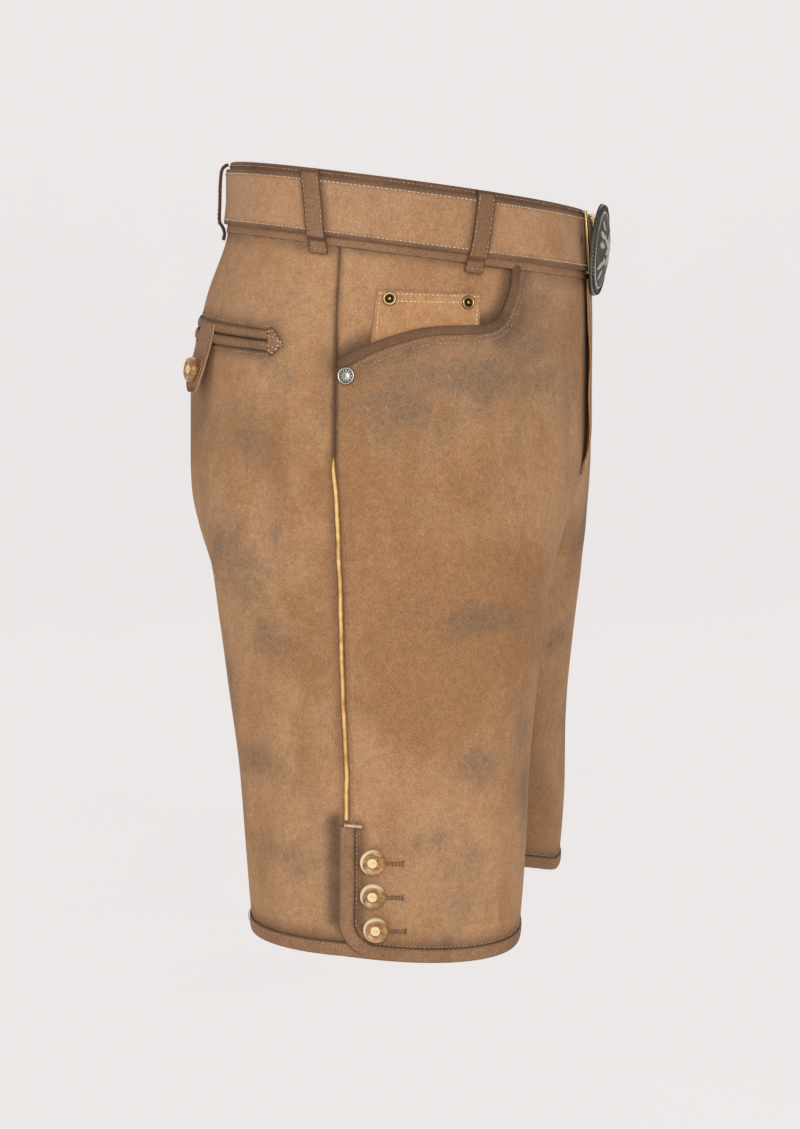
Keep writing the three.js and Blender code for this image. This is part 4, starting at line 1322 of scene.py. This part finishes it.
for side_name, side in SIDES:
    for row, which in enumerate(("upper", "lower")):
        level, along, out, t = welt_grid(row)
        # Painted shade at the welts' edges and in the slit between them.
        marks = {"shade": 0.35 + 0.6 * (2 * np.abs(t - 0.5)) ** 3, "smudge": np.zeros(t.shape)}
        welt = cloth(f"welt_leather_{which}_{side_name}", side, level, along, out, ["binding_suede"], marks)
        thicken(welt, 0.7, raw=False)
        keep(welt, "binding", [f"welt_{which}_{side_name}"], on=f"back_suede_{side_name}")
    for which, end, direction in (("side", BACK_POCKET["side_end"], 1),
                                  ("back", BACK_POCKET["back_end"], -1)):
        level, along, out, u = leaf_grid(end, direction)
        # Painted shade towards the leaf's edges.
        marks = {"shade": 0.25 + 0.5 * np.abs(u) ** 3, "smudge": np.zeros(u.shape)}
        leaf = cloth(f"pocket_leaf_{which}_{side_name}", side, level, along, out,
                     ["binding_suede", "raw_suede"], marks)
        thicken(leaf, 0.7)
        keep(leaf, "binding", [f"pocket_point_{which}_{side_name}"], on=f"back_suede_{side_name}")
    t, u = np.meshgrid(np.linspace(0, 1, 40) ** 0.8, np.linspace(-1, 1, 17), indexing="ij")
    along = TAB["along"] + u * np.maximum(tab_half_width(t), 0.4)
    curl = 0.7 * (u * smooth(0.3, 1, t)) ** 2
    # Painted shade at the tab's sides and along its lower end, where it stands off.
    marks = {"shade": 0.15 + 0.55 * np.maximum(np.abs(u) ** 6, smooth(0.85, 1, t)),
             "smudge": np.zeros(u.shape)}
    tab = cloth(f"pocket_tab_leather_{side_name}", side, tab_level(t), along,
                tab_stand_off(t) + SUEDE + curl, ["binding_suede", "raw_suede"], marks)
    thicken(tab, SUEDE, 0.35)
    keep(tab, "binding", [f"pocket_tab_{side_name}"], ((0.026, 0.042), 0.00098),
         [f"back_suede_{side_name}"])
print("pieces:", len(pieces))

# %% [markdown]
# ## Buttons, rivets and eyelets
#
# A horn button is turned: a rounded rim, a dish and a raised boss in the middle with
# a slot across it for the thread. Rivets and eyelets are small pressings. Each is a
# profile spun round an axis; a modifier could spin it, but the mark that says how far
# out each point is would then be lost.

# %% Turned pieces
VENT_BUTTONS = [(19, -450), (19, -474), (21.5, -498)]
EYELETS = [(36, -58.5), (91, -55)]
SIDE_RIVET = (8, -114)
HORN_PROFILE = [(9.0, 0.0), (9.0, 1.2), (8.95, 2.2), (8.6, 3.4), (8.0, 4.15), (7.2, 4.45), (6.4, 4.2),
                (5.4, 3.5), (4.4, 3.1), (3.8, 3.05), (3.55, 3.3), (3.5, 4.0), (3.2, 4.25), (2.4, 4.3),
                (1.6, 4.2), (0.8, 4.05), (0.0, 4.0)]
SLOT = {"half_length": 2.0, "half_width": 0.5, "depth": 1.1}


def spun(profile, segments=48):
    """Rings of points round +Z from a profile of (radius, height), edge first."""
    turns = np.linspace(0, 2 * np.pi, segments, endpoint=False)
    radius = np.array([row[0] for row in profile])[:, None]
    height = np.array([row[1] for row in profile])[:, None]
    return np.stack([radius * np.cos(turns), radius * np.sin(turns), height + 0 * turns], axis=-1)


def spun_faces(rows, segments):
    faces = []
    for r in range(rows - 1):
        for s in range(segments):
            after = (s + 1) % segments
            faces.append((r * segments + s, r * segments + after,
                          (r + 1) * segments + after, (r + 1) * segments + s))
    return faces


def on_skin(points, side, along, level, out, turn=0.0, tilt=0.0):
    """Points made round +Z, set on the skin with +Z outwards, in metres."""
    level, along = np.array(float(level)), np.array(float(along))
    origin = skin.place(side, level, along, out)
    normal = skin.normal(level, along) * np.array([side, 1, 1])
    up = np.array([0.0, 0.0, 1.0])
    up = up - normal * (up @ normal)
    up /= np.linalg.norm(up)
    right = np.cross(up, normal)
    first = right * math.cos(turn) + up * math.sin(turn)
    second = np.cross(normal, first)
    lean = points[..., 2:] * normal + points[..., :1] * math.tan(tilt) * normal
    return origin + (points[..., :1] * first + points[..., 1:2] * second + lean) * MM


def cap_faces(rows, segments):
    """One face over the first ring, which closes the underside."""
    return [tuple(reversed(range(segments)))]


def turned_piece(name, profile, material, mark, side, along, level, out, turn=0.0, tilt=0.0, shape=None):
    rings = spun(profile)
    if shape is not None:
        rings = shape(rings)
    rows, segments = rings.shape[:2]
    points = on_skin(rings, side, along, level, out, turn, tilt).reshape(-1, 3)
    faces = spun_faces(rows, segments) + cap_faces(rows, segments)
    piece = new_piece(name, points, faces, [material], {word: rule(rings) for word, rule in mark.items()})
    weld = bmesh.new()
    weld.from_mesh(piece.data)
    bmesh.ops.remove_doubles(weld, verts=weld.verts, dist=0.00001)
    weld.to_mesh(piece.data)
    weld.free()
    return piece


def slotted(rings):
    """A button with its slot pressed in and its dish a little uneven."""
    x, y = rings[..., 0], rings[..., 1]
    inside = (1 - smooth(0.75, 1.15, np.abs(x) / SLOT["half_length"]))
    inside = inside * (1 - smooth(0.5, 1.3, np.abs(y) / SLOT["half_width"]))
    rings[..., 2] -= SLOT["depth"] * inside
    return rings


def height_mark(low, high):
    return {"relief": lambda rings: smooth(low, high, rings[..., 2])}


# The rim is painted palest at its upper back side, as a painted highlight.
HORN_MARKS = {
    "ring": lambda rings: np.hypot(rings[..., 0] - 1.5, rings[..., 1] + 0.9) / 9.4,
    "boss": lambda rings: 1 - smooth(3.3, 3.6, np.hypot(rings[..., 0], rings[..., 1])),
}


BUTTON_OUT = PANEL_GAP + BAND + LAP_GAP + 0.3
BUTTON_TURNS = (0.25, -0.2, 0.1, 0.4)
for side_name, side in SIDES:
    for i, (along, level) in enumerate(VENT_BUTTONS):
        button = turned_piece(f"horn_button_{i + 1}_{side_name}", HORN_PROFILE, "horn", HORN_MARKS,
                              side, along, level, BUTTON_OUT, BUTTON_TURNS[i], 0.05 * (i - 1), slotted)
        keep(button, "horn", [f"vent_button_{i + 1}_{side_name}"])
    button = turned_piece(f"horn_button_tab_{side_name}", HORN_PROFILE, "horn", HORN_MARKS, side,
                          TAB["along"], tab_level(0.68), tab_stand_off(0.74) + SUEDE + PANEL_GAP,
                          BUTTON_TURNS[3], 0.0, slotted)
    keep(button, "horn", [f"tab_button_{side_name}"])

RIVET_PROFILE = [(6.0, 0.0), (6.0, 0.7), (5.8, 1.2), (5.4, 1.45), (5.0, 1.35), (4.7, 1.0), (4.4, 1.05),
                 (3.6, 1.1), (2.9, 1.15), (2.6, 1.5), (2.3, 1.65), (1.6, 1.75), (0.8, 1.85), (0.0, 1.9)]
EYELET_PROFILE = [(4.8, 0.0), (4.75, 0.5), (4.5, 0.95), (4.1, 1.2), (3.6, 1.2), (3.1, 0.95), (2.7, 0.5),
                  (2.5, 0.3), (1.6, 0.3), (1.3, 0.5), (1.15, 1.1), (0.8, 1.35), (0.0, 1.4)]


def dotted(rings):
    """A rivet with a ring of small dots pressed between its rim and its middle."""
    x, y = rings[..., 0], rings[..., 1]
    radius = np.hypot(x, y)
    ring_share = np.exp(-((radius - 3.7) / 0.55) ** 2)
    rings[..., 2] += 0.4 * ring_share * np.cos(np.arctan2(y, x) * 12)
    return rings


for side_name, side in SIDES:
    rivet = turned_piece(f"corner_rivet_{side_name}", RIVET_PROFILE, "silver", height_mark(0.7, 1.6),
                         side, *SIDE_RIVET, PANEL_GAP + BAND + LAP_GAP, 0, 0, dotted)
    keep(rivet, "pewter", [f"side_rivet_{side_name}"])
for i, (along, level) in enumerate(EYELETS):
    seat = float(facing_depth(np.array(float(level)), np.array(float(along)))) + PANEL_GAP + BAND + LAP_GAP
    eyelet = turned_piece(f"brass_eyelet_{i + 1}", EYELET_PROFILE, "brass", height_mark(0.4, 1.1),
                          -1, along, level, seat)
    keep(eyelet, "brass", [f"coin_patch_eyelet_{i + 1}"])
print("pieces:", len(pieces))

# %% [markdown]
# ## The buckle
#
# The plate is a cast oval, dished and darkened, with leaves and a flower in low
# relief inside a twisted rope. Its face is one fine grid whose height is a sum of
# simple shapes, each petal or leaf a soft pointed oval. The rope is one bead, set
# many times round the rim by geometry nodes.

# %% Buckle plate
BUCKLE = {"width": 85.0, "height": 68.0, "dome": 7.0, "plate": 2.4, "lean": 5.0,
          "z": -24.0, "rim_y": -151.0}
BUCKLE_BAR = {"across": 22.0, "width": 3.5, "thickness": 2.0, "overhang": 2.6}
WIDEN = BUCKLE["width"] / BUCKLE["height"]
HALF = BUCKLE["height"] / 2


def leaf_height(x, y, at, turn, length, width, vein=0.35):
    """A pointed leaf's height: 1 along its middle and 0 at its edge, with a vein."""
    dx, dy = x - at[0], y - at[1]
    u = (dx * math.cos(turn) + dy * math.sin(turn)) / length
    v = (-dx * math.sin(turn) + dy * math.cos(turn)) / width
    inside = np.clip(1 - (2 * u - 1) ** 2, 0, 1) * (u > 0) * (u < 1)
    body = np.clip(1 - (v / np.maximum(inside, 0.01) ** 0.7) ** 2, 0, 1) ** 0.6 * (inside > 0.01)
    groove = np.exp(-(v / 0.14) ** 2) + 0.5 * np.exp(-(((u * 7 + np.abs(v) * 2.2) % 1 - 0.5) / 0.2) ** 2)
    return body * (1 - vein * np.clip(groove, 0, 1))


def ornament(x, y):
    """Height of the relief over the plate's field, 0 to about 1."""
    height = np.zeros(x.shape)
    for i in range(8):
        turn = 2 * math.pi * i / 8 + 0.2
        length = 12.5 if i % 2 else 10.0
        height = np.maximum(height, leaf_height(x, y, (2.2 * math.cos(turn), 2.2 * math.sin(turn)),
                                                turn, length, 3.1))
    for i in range(7):
        turn = 2 * math.pi * i / 7
        seed = np.hypot(x - 2.6 * math.cos(turn), y - 2.6 * math.sin(turn))
        height = np.maximum(height, 1.15 * np.clip(1 - (seed / 1.25) ** 2, 0, 1))
    height = np.maximum(height, 1.25 * np.clip(1 - (np.hypot(x, y) / 1.6) ** 2, 0, 1))
    for across in (-1, 1):
        stem = np.abs(np.hypot(x - across * 22, (y + 2) * 1.1) - 9)
        height = np.maximum(height, 0.5 * np.clip(1 - (stem / 0.9) ** 2, 0, 1) * (np.abs(x) > 13))
        for up, turn, length in ((9, 0.35, 13), (-10, -0.45, 13), (2.5, 0.1, 12), (15, 1.0, 10),
                                 (-16, -1.1, 9), (6, 2.2, 7), (-6, -2.3, 7)):
            heading = turn if across > 0 else math.pi - turn
            base = (across * (17 - 0.25 * abs(up)), up * 0.9)
            height = np.maximum(height, leaf_height(x, y, base, heading, length, 3.0))
    return height


def buckle_space(points):
    """Plate coordinates in mm (across, up, outwards) to the garment's frame in metres."""
    lean = math.radians(BUCKLE["lean"])
    across, up, out = points[..., 0], points[..., 1], points[..., 2]
    y = -out * math.cos(lean) - up * math.sin(lean)
    z = -out * math.sin(lean) + up * math.cos(lean)
    return np.stack([across, y + BUCKLE["rim_y"], z + BUCKLE["z"]], axis=-1) * MM


def dome(radius):
    return BUCKLE["dome"] * (1 - (radius / HALF) ** 2)


ring_radii = np.concatenate([np.linspace(HALF, HALF - 5, 14), np.linspace(HALF - 5.3, 0.0, 92)])
turns = np.linspace(0, 2 * np.pi, 200, endpoint=False)
radius = np.repeat(ring_radii[:, None], len(turns), axis=1)
x, y = radius * np.cos(turns) * WIDEN, radius * np.sin(turns)
field = 1 - smooth(HALF - 8.5, HALF - 7.0, radius)
rim = np.exp(-((radius - (HALF - 2.3)) / 1.9) ** 2) * 0.9
inner_rim = np.exp(-((radius - (HALF - 6.0)) / 0.7) ** 2) * 0.8
relief = ornament(x, y) * field
pitted = 0.12 * np.sin(x * 2.3) * np.sin(y * 2.6) * field * (1 - relief)
face_height = dome(radius) + 0.7 + rim + inner_rim + 1.1 * relief + pitted
face_height = np.where(radius >= HALF - 0.01, BUCKLE["plate"] / 2, face_height)
back_radii = np.array([0.0, 14.0, 26.0, HALF - 1.0, HALF])[:, None] + 0 * turns
back_height = np.where(back_radii >= HALF - 1.1, 0.0, dome(back_radii) - 1)
back = np.stack([back_radii * np.cos(turns) * WIDEN, back_radii * np.sin(turns), back_height], axis=-1)
front = np.stack([x, y, face_height], axis=-1)
rings = np.concatenate([back, front])
height_relief = np.concatenate([np.full(back_height.shape, 0.2),
                                np.clip(relief * 0.9 + rim + inner_rim, 0, 1)])
plate = new_piece("buckle_cast_plate", buckle_space(rings).reshape(-1, 3),
                  [face[::-1] for face in spun_faces(len(rings), len(turns))], ["pewter"],
                  {"relief": height_relief})
weld = bmesh.new()
weld.from_mesh(plate.data)
bmesh.ops.remove_doubles(weld, verts=weld.verts, dist=0.00001)
bmesh.ops.recalc_face_normals(weld, faces=weld.faces)
weld.to_mesh(plate.data)
weld.free()
keep(plate, "pewter", ["buckle_plate"])

# %% Buckle bars
for side_name, side in SIDES:
    over, under, face = BUCKLE_BAR["overhang"], LAP_GAP, BELT["outer"] + LAP_GAP
    thick = BUCKLE_BAR["thickness"]
    inner = [(BELT["top"] + under, 2.2), (BELT["top"] + under, face),
             (BELT["bottom"] - under, face), (BELT["bottom"] - under, 2.2)]
    outer = [(BELT["bottom"] - over, 2.2), (BELT["bottom"] - over, face + thick),
             (BELT["top"] + over, face + thick), (BELT["top"] + over, 2.2)]
    line = np.array(inner + outer)
    reach = BUCKLE_BAR["across"] + np.array([-0.5, 0.5]) * BUCKLE_BAR["width"]
    level = np.repeat(line[:, :1], 2, axis=1)
    out = np.repeat(line[:, 1:], 2, axis=1)
    points = skin.place(side, level, skin.front_at(level) - reach[None, :], out, 0)
    count = len(line)
    faces = [(2 * i, 2 * i + 1, (2 * i + 3) % (2 * count), (2 * i + 2) % (2 * count)) for i in range(count)]
    faces += [(0, 2, 12, 14), (2, 4, 10, 12), (4, 6, 8, 10), (1, 15, 13, 3), (3, 13, 11, 5), (5, 11, 9, 7)]
    bar = new_piece(f"buckle_hook_{side_name}", points.reshape(-1, 3), faces, ["brass"],
                    {"relief": np.full(2 * count, 0.8)})
    weld = bmesh.new()
    weld.from_mesh(bar.data)
    bmesh.ops.recalc_face_normals(weld, faces=weld.faces)
    weld.to_mesh(bar.data)
    weld.free()
    soften = bar.modifiers.new("soft_edge", "BEVEL")
    soften.width = 0.4 * MM
    soften.segments = 2
    keep(bar, "brass", [f"buckle_bar_{side_name}"])
print("pieces:", len(pieces))

# %% [markdown]
# ## Stitches, bar tacks, buttonholes and the buckle's rope
#
# A sewing machine sets one stitch after another along a line. Geometry nodes do the
# same: a line is cut into even steps and one small bead of thread is set on each,
# along the line and flat to the cloth, with a little chance in its size and turn.
# The same tool makes satin stitches, which lie across their line, and the rope.

# %% The sewing tool
def sewing_tool():
    """A node group: lines in, beads along them out."""
    tree = bpy.data.node_groups.new("sewing", "GeometryNodeTree")
    face = tree.interface
    face.new_socket("Geometry", in_out="INPUT", socket_type="NodeSocketGeometry")
    sockets = {"Geometry": face.items_tree[0].identifier}
    for name in ("Pitch", "Length", "Thickness", "Twist", "Uneven"):
        sockets[name] = face.new_socket(name, in_out="INPUT", socket_type="NodeSocketFloat").identifier
    thread_socket = face.new_socket("Thread", in_out="INPUT", socket_type="NodeSocketMaterial")
    sockets["Thread"] = thread_socket.identifier
    face.new_socket("Geometry", in_out="OUTPUT", socket_type="NodeSocketGeometry")

    def node(kind, settings=None, sockets=None):
        made = tree.nodes.new(kind)
        for name, value in (settings or {}).items():
            setattr(made, name, value)
        for name, value in (sockets or {}).items():
            if isinstance(value, bpy.types.NodeSocket):
                tree.links.new(value, made.inputs[name])
            else:
                made.inputs[name].default_value = value
        return made

    given = node("NodeGroupInput").outputs
    lines = node("GeometryNodeMeshToCurve", sockets={"Mesh": given["Geometry"]}).outputs[0]
    steps = node("GeometryNodeResampleCurve", {"mode": "LENGTH"},
                 {"Curve": lines, "Length": given["Pitch"]}).outputs[0]
    tangent = node("GeometryNodeInputTangent").outputs[0]
    up = node("GeometryNodeInputNamedAttribute", {"data_type": "FLOAT_VECTOR"}, {"Name": "up"}).outputs[0]
    heading = node("FunctionNodeAxesToRotation", {"primary_axis": "Z", "secondary_axis": "X"},
                   {"Primary Axis": tangent, "Secondary Axis": up}).outputs[0]
    chance = node("FunctionNodeRandomValue", {"data_type": "FLOAT"},
                  {"Min": -1.0, "Max": 1.0, "Seed": 7})
    chance_turn = next(socket for socket in chance.outputs if socket.enabled)
    amount = node("ShaderNodeMath", {"operation": "MULTIPLY"},
                  {0: chance_turn, 1: given["Uneven"]}).outputs[0]
    turn = node("ShaderNodeMath", {"operation": "ADD"}, {0: amount, 1: given["Twist"]}).outputs[0]
    about_up = node("ShaderNodeCombineXYZ", sockets={"X": turn}).outputs[0]
    spin = node("FunctionNodeEulerToRotation", sockets={"Euler": about_up}).outputs[0]
    aimed = node("FunctionNodeRotateRotation", {"rotation_space": "LOCAL"},
                 {"Rotation": heading, "Rotate By": spin}).outputs[0]
    bead = node("GeometryNodeMeshUVSphere", sockets={"Segments": 7, "Rings": 4, "Radius": 0.5}).outputs[0]
    size = node("ShaderNodeCombineXYZ", sockets={"X": given["Thickness"], "Y": given["Thickness"],
                                                 "Z": given["Length"]}).outputs[0]
    thread_bead = node("GeometryNodeTransform", sockets={"Geometry": bead, "Scale": size}).outputs[0]
    grow = node("ShaderNodeMath", {"operation": "MULTIPLY_ADD"},
                {0: amount, 1: 0.8, 2: 1.0}).outputs[0]
    placed = node("GeometryNodeInstanceOnPoints",
                  sockets={"Points": steps, "Instance": thread_bead, "Rotation": aimed, "Scale": grow}).outputs[0]
    real = node("GeometryNodeRealizeInstances", sockets={"Geometry": placed}).outputs[0]
    smooth_beads = node("GeometryNodeSetShadeSmooth", sockets={"Geometry": real}).outputs[0]
    painted = node("GeometryNodeSetMaterial", sockets={"Geometry": smooth_beads,
                                                       "Material": given["Thread"]}).outputs[0]
    node("NodeGroupOutput", sockets={"Geometry": painted})
    return tree, sockets


SEWING, SEWING_SOCKETS = sewing_tool()


def sew(name, lines, material, pitch, length, thickness, twist=0.0, uneven=0.12):
    """Beads of thread along lines. Each line is (points in metres, outward directions)."""
    points = np.concatenate([line[0] for line in lines])
    ups = np.concatenate([line[1] for line in lines])
    edges = []
    start = 0
    for line in lines:
        edges += [(start + i, start + i + 1) for i in range(len(line[0]) - 1)]
        start += len(line[0])
    mesh = bpy.data.meshes.new(name + "_lines")
    mesh.from_pydata(points.tolist(), edges, [])
    up = mesh.attributes.new("up", "FLOAT_VECTOR", "POINT")
    up.data.foreach_set("vector", ups.astype(np.float32).ravel())
    guide = bpy.data.objects.new(name, mesh)
    bpy.context.collection.objects.link(guide)
    tool = guide.modifiers.new("sewing", "NODES")
    tool.node_group = SEWING
    values = {"Pitch": pitch * MM, "Length": length * MM, "Thickness": thickness * MM, "Twist": twist,
              "Uneven": uneven, "Thread": MATERIALS[material]}
    for socket, value in values.items():
        tool[SEWING_SOCKETS[socket]] = value
    ready = guide.evaluated_get(bpy.context.evaluated_depsgraph_get())
    beads = bpy.data.meshes.new_from_object(ready)
    guide.modifiers.remove(tool)
    guide.data = beads
    bpy.data.meshes.remove(mesh)
    return guide


def row(side, places, out, half_gap=SEAM_GAP / 2):
    """A line to sew along, from places of (along, level) on the skin."""
    line = even_line(places, 1.5)
    along, level = line[:, 0], line[:, 1]
    height = out(level, along) if callable(out) else np.full(len(level), float(out))
    points = skin.place(side, level, along, height, half_gap)
    return points, skin.normal(level, along) * np.array([side, 1, 1])


def beside(line, offset):
    """The line moved sideways over the skin by an offset."""
    level, along, _ = strip_places(np.asarray(line, float), [(offset, 0)])
    return np.stack([along[:, 0], level[:, 0]], axis=1)


print("sewing tool inputs:", sorted(SEWING_SOCKETS))

# %% Rows of stitches
cream, brown, satin, dark = [], [], [], []
for side_name, side in SIDES:
    on_panel = lambda level, along: rise_at(side, level, along) + 0.12
    for edge in (BELT["top"] - 3.2, BELT["bottom"] + 3.2):
        along = np.arange(float(skin.back_at(edge)), float(skin.front_at(edge)) - 5, 1.5)
        level = np.full(len(along), edge)
        height = BELT["outer"] + 0.1 + belt_wave(level, np.full(len(along), float(side)), along)
        cream.append((skin.place(side, level, along, height, 0),
                      skin.normal(level, along) * np.array([side, 1, 1])))
    along = np.arange(float(skin.back_at(22)), float(skin.front_at(22)) - 1, 1.5)
    facing_out = skin.normal(21.6, along) * np.array([side, 1, 1])
    brown.append((skin.place(side, 21.6, along, 1.35, 0), facing_out))
    for which in LOOPS:
        level, along, out, u = loop_grid(which)
        for column in (1, -2):
            keep_rows = (level[:, column] < 18) & (level[:, column] > -21.5)
            lv, al, ot = (grid[keep_rows, column] for grid in (level, along, out))
            brown.append((skin.place(side, lv, al, ot + 0.1), skin.normal(lv, al) * np.array([side, 1, 1])))
        foot = [(along[-3, 1], -30.5), (along[-3, -2], -30.5)]
        brown.append(row(side, foot, 3.7))
    for offset in (-8.2, -12.4):
        cream_line = beside(mouth_line, offset)
        brown.append(row(side, cream_line[4:-3], on_panel))
    brown.append(row(side, [(4.6, -172), (4.9, -300), (4.6, -424)], on_panel))
    line = vent_line()
    stitch_line = beside(line, VENT_WIDTH + 0.6)
    brown.append(row(side, stitch_line[2:30], on_panel))
    hem_line = beside(line, HEM_BAND + 0.9)
    brown.append(row(side, hem_line[44:], on_panel))
    back_hem = [(float(vent_edge(-512, VENT_OVERLAP)) - 3, -512), (float(skin.back_at(-512)) + 2, -512)]
    brown.append(row(side, back_hem, PANEL_GAP + BAND + 0.5))
    waist_row = [(127 + step * 2.2, -27.2 + 0.9 * (-1) ** step) for step in range(40)]
    brown.append(row(side, waist_row, on_panel))
    steps_back = int(-float(skin.back_at(-27)) / 2.2) - 2
    waist_row = [(-4 - step * 2.2, -27.2 + 0.9 * (-1) ** step) for step in range(steps_back)]
    brown.append(row(side, waist_row, on_panel))
    back_end, side_end = BACK_POCKET["back_end"], BACK_POCKET["side_end"]
    deep = 2 * BACK_POCKET["welt"] + LAP_GAP
    for drop in (1.9, -deep - 1.9):
        ends = [(side_end - 1, float(pocket_level(side_end)) + drop),
                (back_end + 1, float(pocket_level(back_end)) + drop)]
        brown.append(row(side, ends, on_panel))
    for end, direction in ((side_end, 1), (back_end, -1)):
        level, along, out, u = leaf_grid(end, direction)
        for column, height in ((1, 0), (9, 0), (3, 0), (7, 0)):
            pick = slice(1, 15 if column in (1, 9) else 12)
            cream.append((skin.place(side, level[pick, column], along[pick, column], out[pick, column] + 0.1),
                          skin.normal(level[pick, column], along[pick, column]) * np.array([side, 1, 1])))
    tab_ts = np.concatenate([np.linspace(0.1, 0.9, 34), np.linspace(0.9, 0.1, 34)])
    edges = np.concatenate([np.full(34, 1.0), np.full(34, -1.0)])
    inset = edges * np.maximum(tab_half_width(tab_ts) - 2.6, 0.5)
    lv, al = tab_level(tab_ts), TAB["along"] + inset
    brown.append((skin.place(side, lv, al, tab_stand_off(tab_ts) + SUEDE + 0.15),
                  skin.normal(lv, al) * np.array([side, 1, 1])))
    for off in (2.8, 6.2):
        seat = [(float(skin.back_at(lv_)) + off, lv_) for lv_ in np.linspace(-30, -222, 60)]
        brown.append(row(side, seat, on_panel))
    satin.append(row(side, [(-1, -425.6), (11, -425.6)], 2.6))
    for along_at, level_at in VENT_BUTTONS:
        for gap in (-0.9, 0.9):
            dark.append(row(side, [(along_at + 9.4, level_at - 1.2 + gap), (along_at + 20, level_at - 0.6 + gap)],
                            on_panel))
        satin_end = [(along_at + 20.6, level_at - 2.4), (along_at + 20.6, level_at + 1.6)]
        dark.append(row(side, satin_end, on_panel))

patch_rows = [
    [(COIN_PATCH["back"] + 2.6, -55.6), (COIN_PATCH["back"] + 0.6, -86)],
    [(COIN_PATCH["front"] - 2.6, -49.6), (COIN_PATCH["front"] - 2.6, -71)],
    [(COIN_PATCH["back"] + 2.6, -55.4), (COIN_PATCH["front"] - 2.6, -49.8)],
    [(COIN_PATCH["back"] + 5.6, -60.4), (COIN_PATCH["front"] - 5.6, -54.6)],
]
on_patch = lambda level, along: facing_depth(level, along) + PANEL_GAP + BAND + 0.15
patch_cream = [row(-1, places, on_patch) for places in patch_rows]
fly_rows = []
for off in (30, 34):
    levels = np.linspace(-27, -200, 60)
    across = off * (1 - smooth(-150, -204, levels) ** 2)
    fly_rows.append(row(1, np.stack([skin.front_at(levels) - across, levels], axis=1),
                        lambda level, along: rise_at(1, level, along) + 0.12))

THREADS = [
    ("stitches_pale", cream + fly_rows, "cream_thread", 3.1, 2.4, 0.8, 0.0, 0.1),
    ("stitches_coin_patch", patch_cream, "cream_thread", 3.0, 2.5, 1.0, 0.0, 0.12),
    ("stitches_brown", brown, "brown_thread", 3.1, 2.3, 0.72, 0.0, 0.12),
    ("bar_tacks", satin, "cream_thread", 0.6, 2.4, 0.7, 1.4, 0.15),
    ("buttonholes", dark, "dark_thread", 0.9, 1.9, 0.6, 1.35, 0.3),
]
for name, lines, material, pitch, length, thickness, twist, uneven in THREADS:
    sewn = sew(name, lines, material, pitch, length, thickness, twist, uneven)
    keep(sewn, "thread", [])
    print(name, len(sewn.data.polygons))

# %% The rope round the buckle
turns = np.linspace(0, 2 * np.pi, 240)
rope_radius = HALF - 2.3
rope = np.stack([rope_radius * np.cos(turns) * WIDEN, rope_radius * np.sin(turns),
                 np.full(len(turns), float(dome(rope_radius)) + 1.9)], axis=-1)
above = rope + np.array([0.0, 0.0, 1.0])
rope_line = (buckle_space(rope), (buckle_space(above) - buckle_space(rope)) / MM)
twisted = sew("buckle_rope", [rope_line], "pewter", 2.9, 4.4, 2.2, 0.75, 0.04)
keep(twisted, "pewter", [])
print("pieces:", len(pieces))

# %% [markdown]
# ## Handing the pieces to the frame
#
# Every piece rides the one rigid body, and the CAD nodes that it stands for are hidden.

# %% Ride and replace
for piece, slot_name, nodes in pieces.values():
    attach(piece, "root")
    if nodes:
        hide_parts(*nodes)

for name, (flat, area, rests_on) in sheets.items():
    list(rests_on)
    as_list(sewn_on.get(name, []))
print("sheets:", len(sheets), "pieces:", len(pieces))
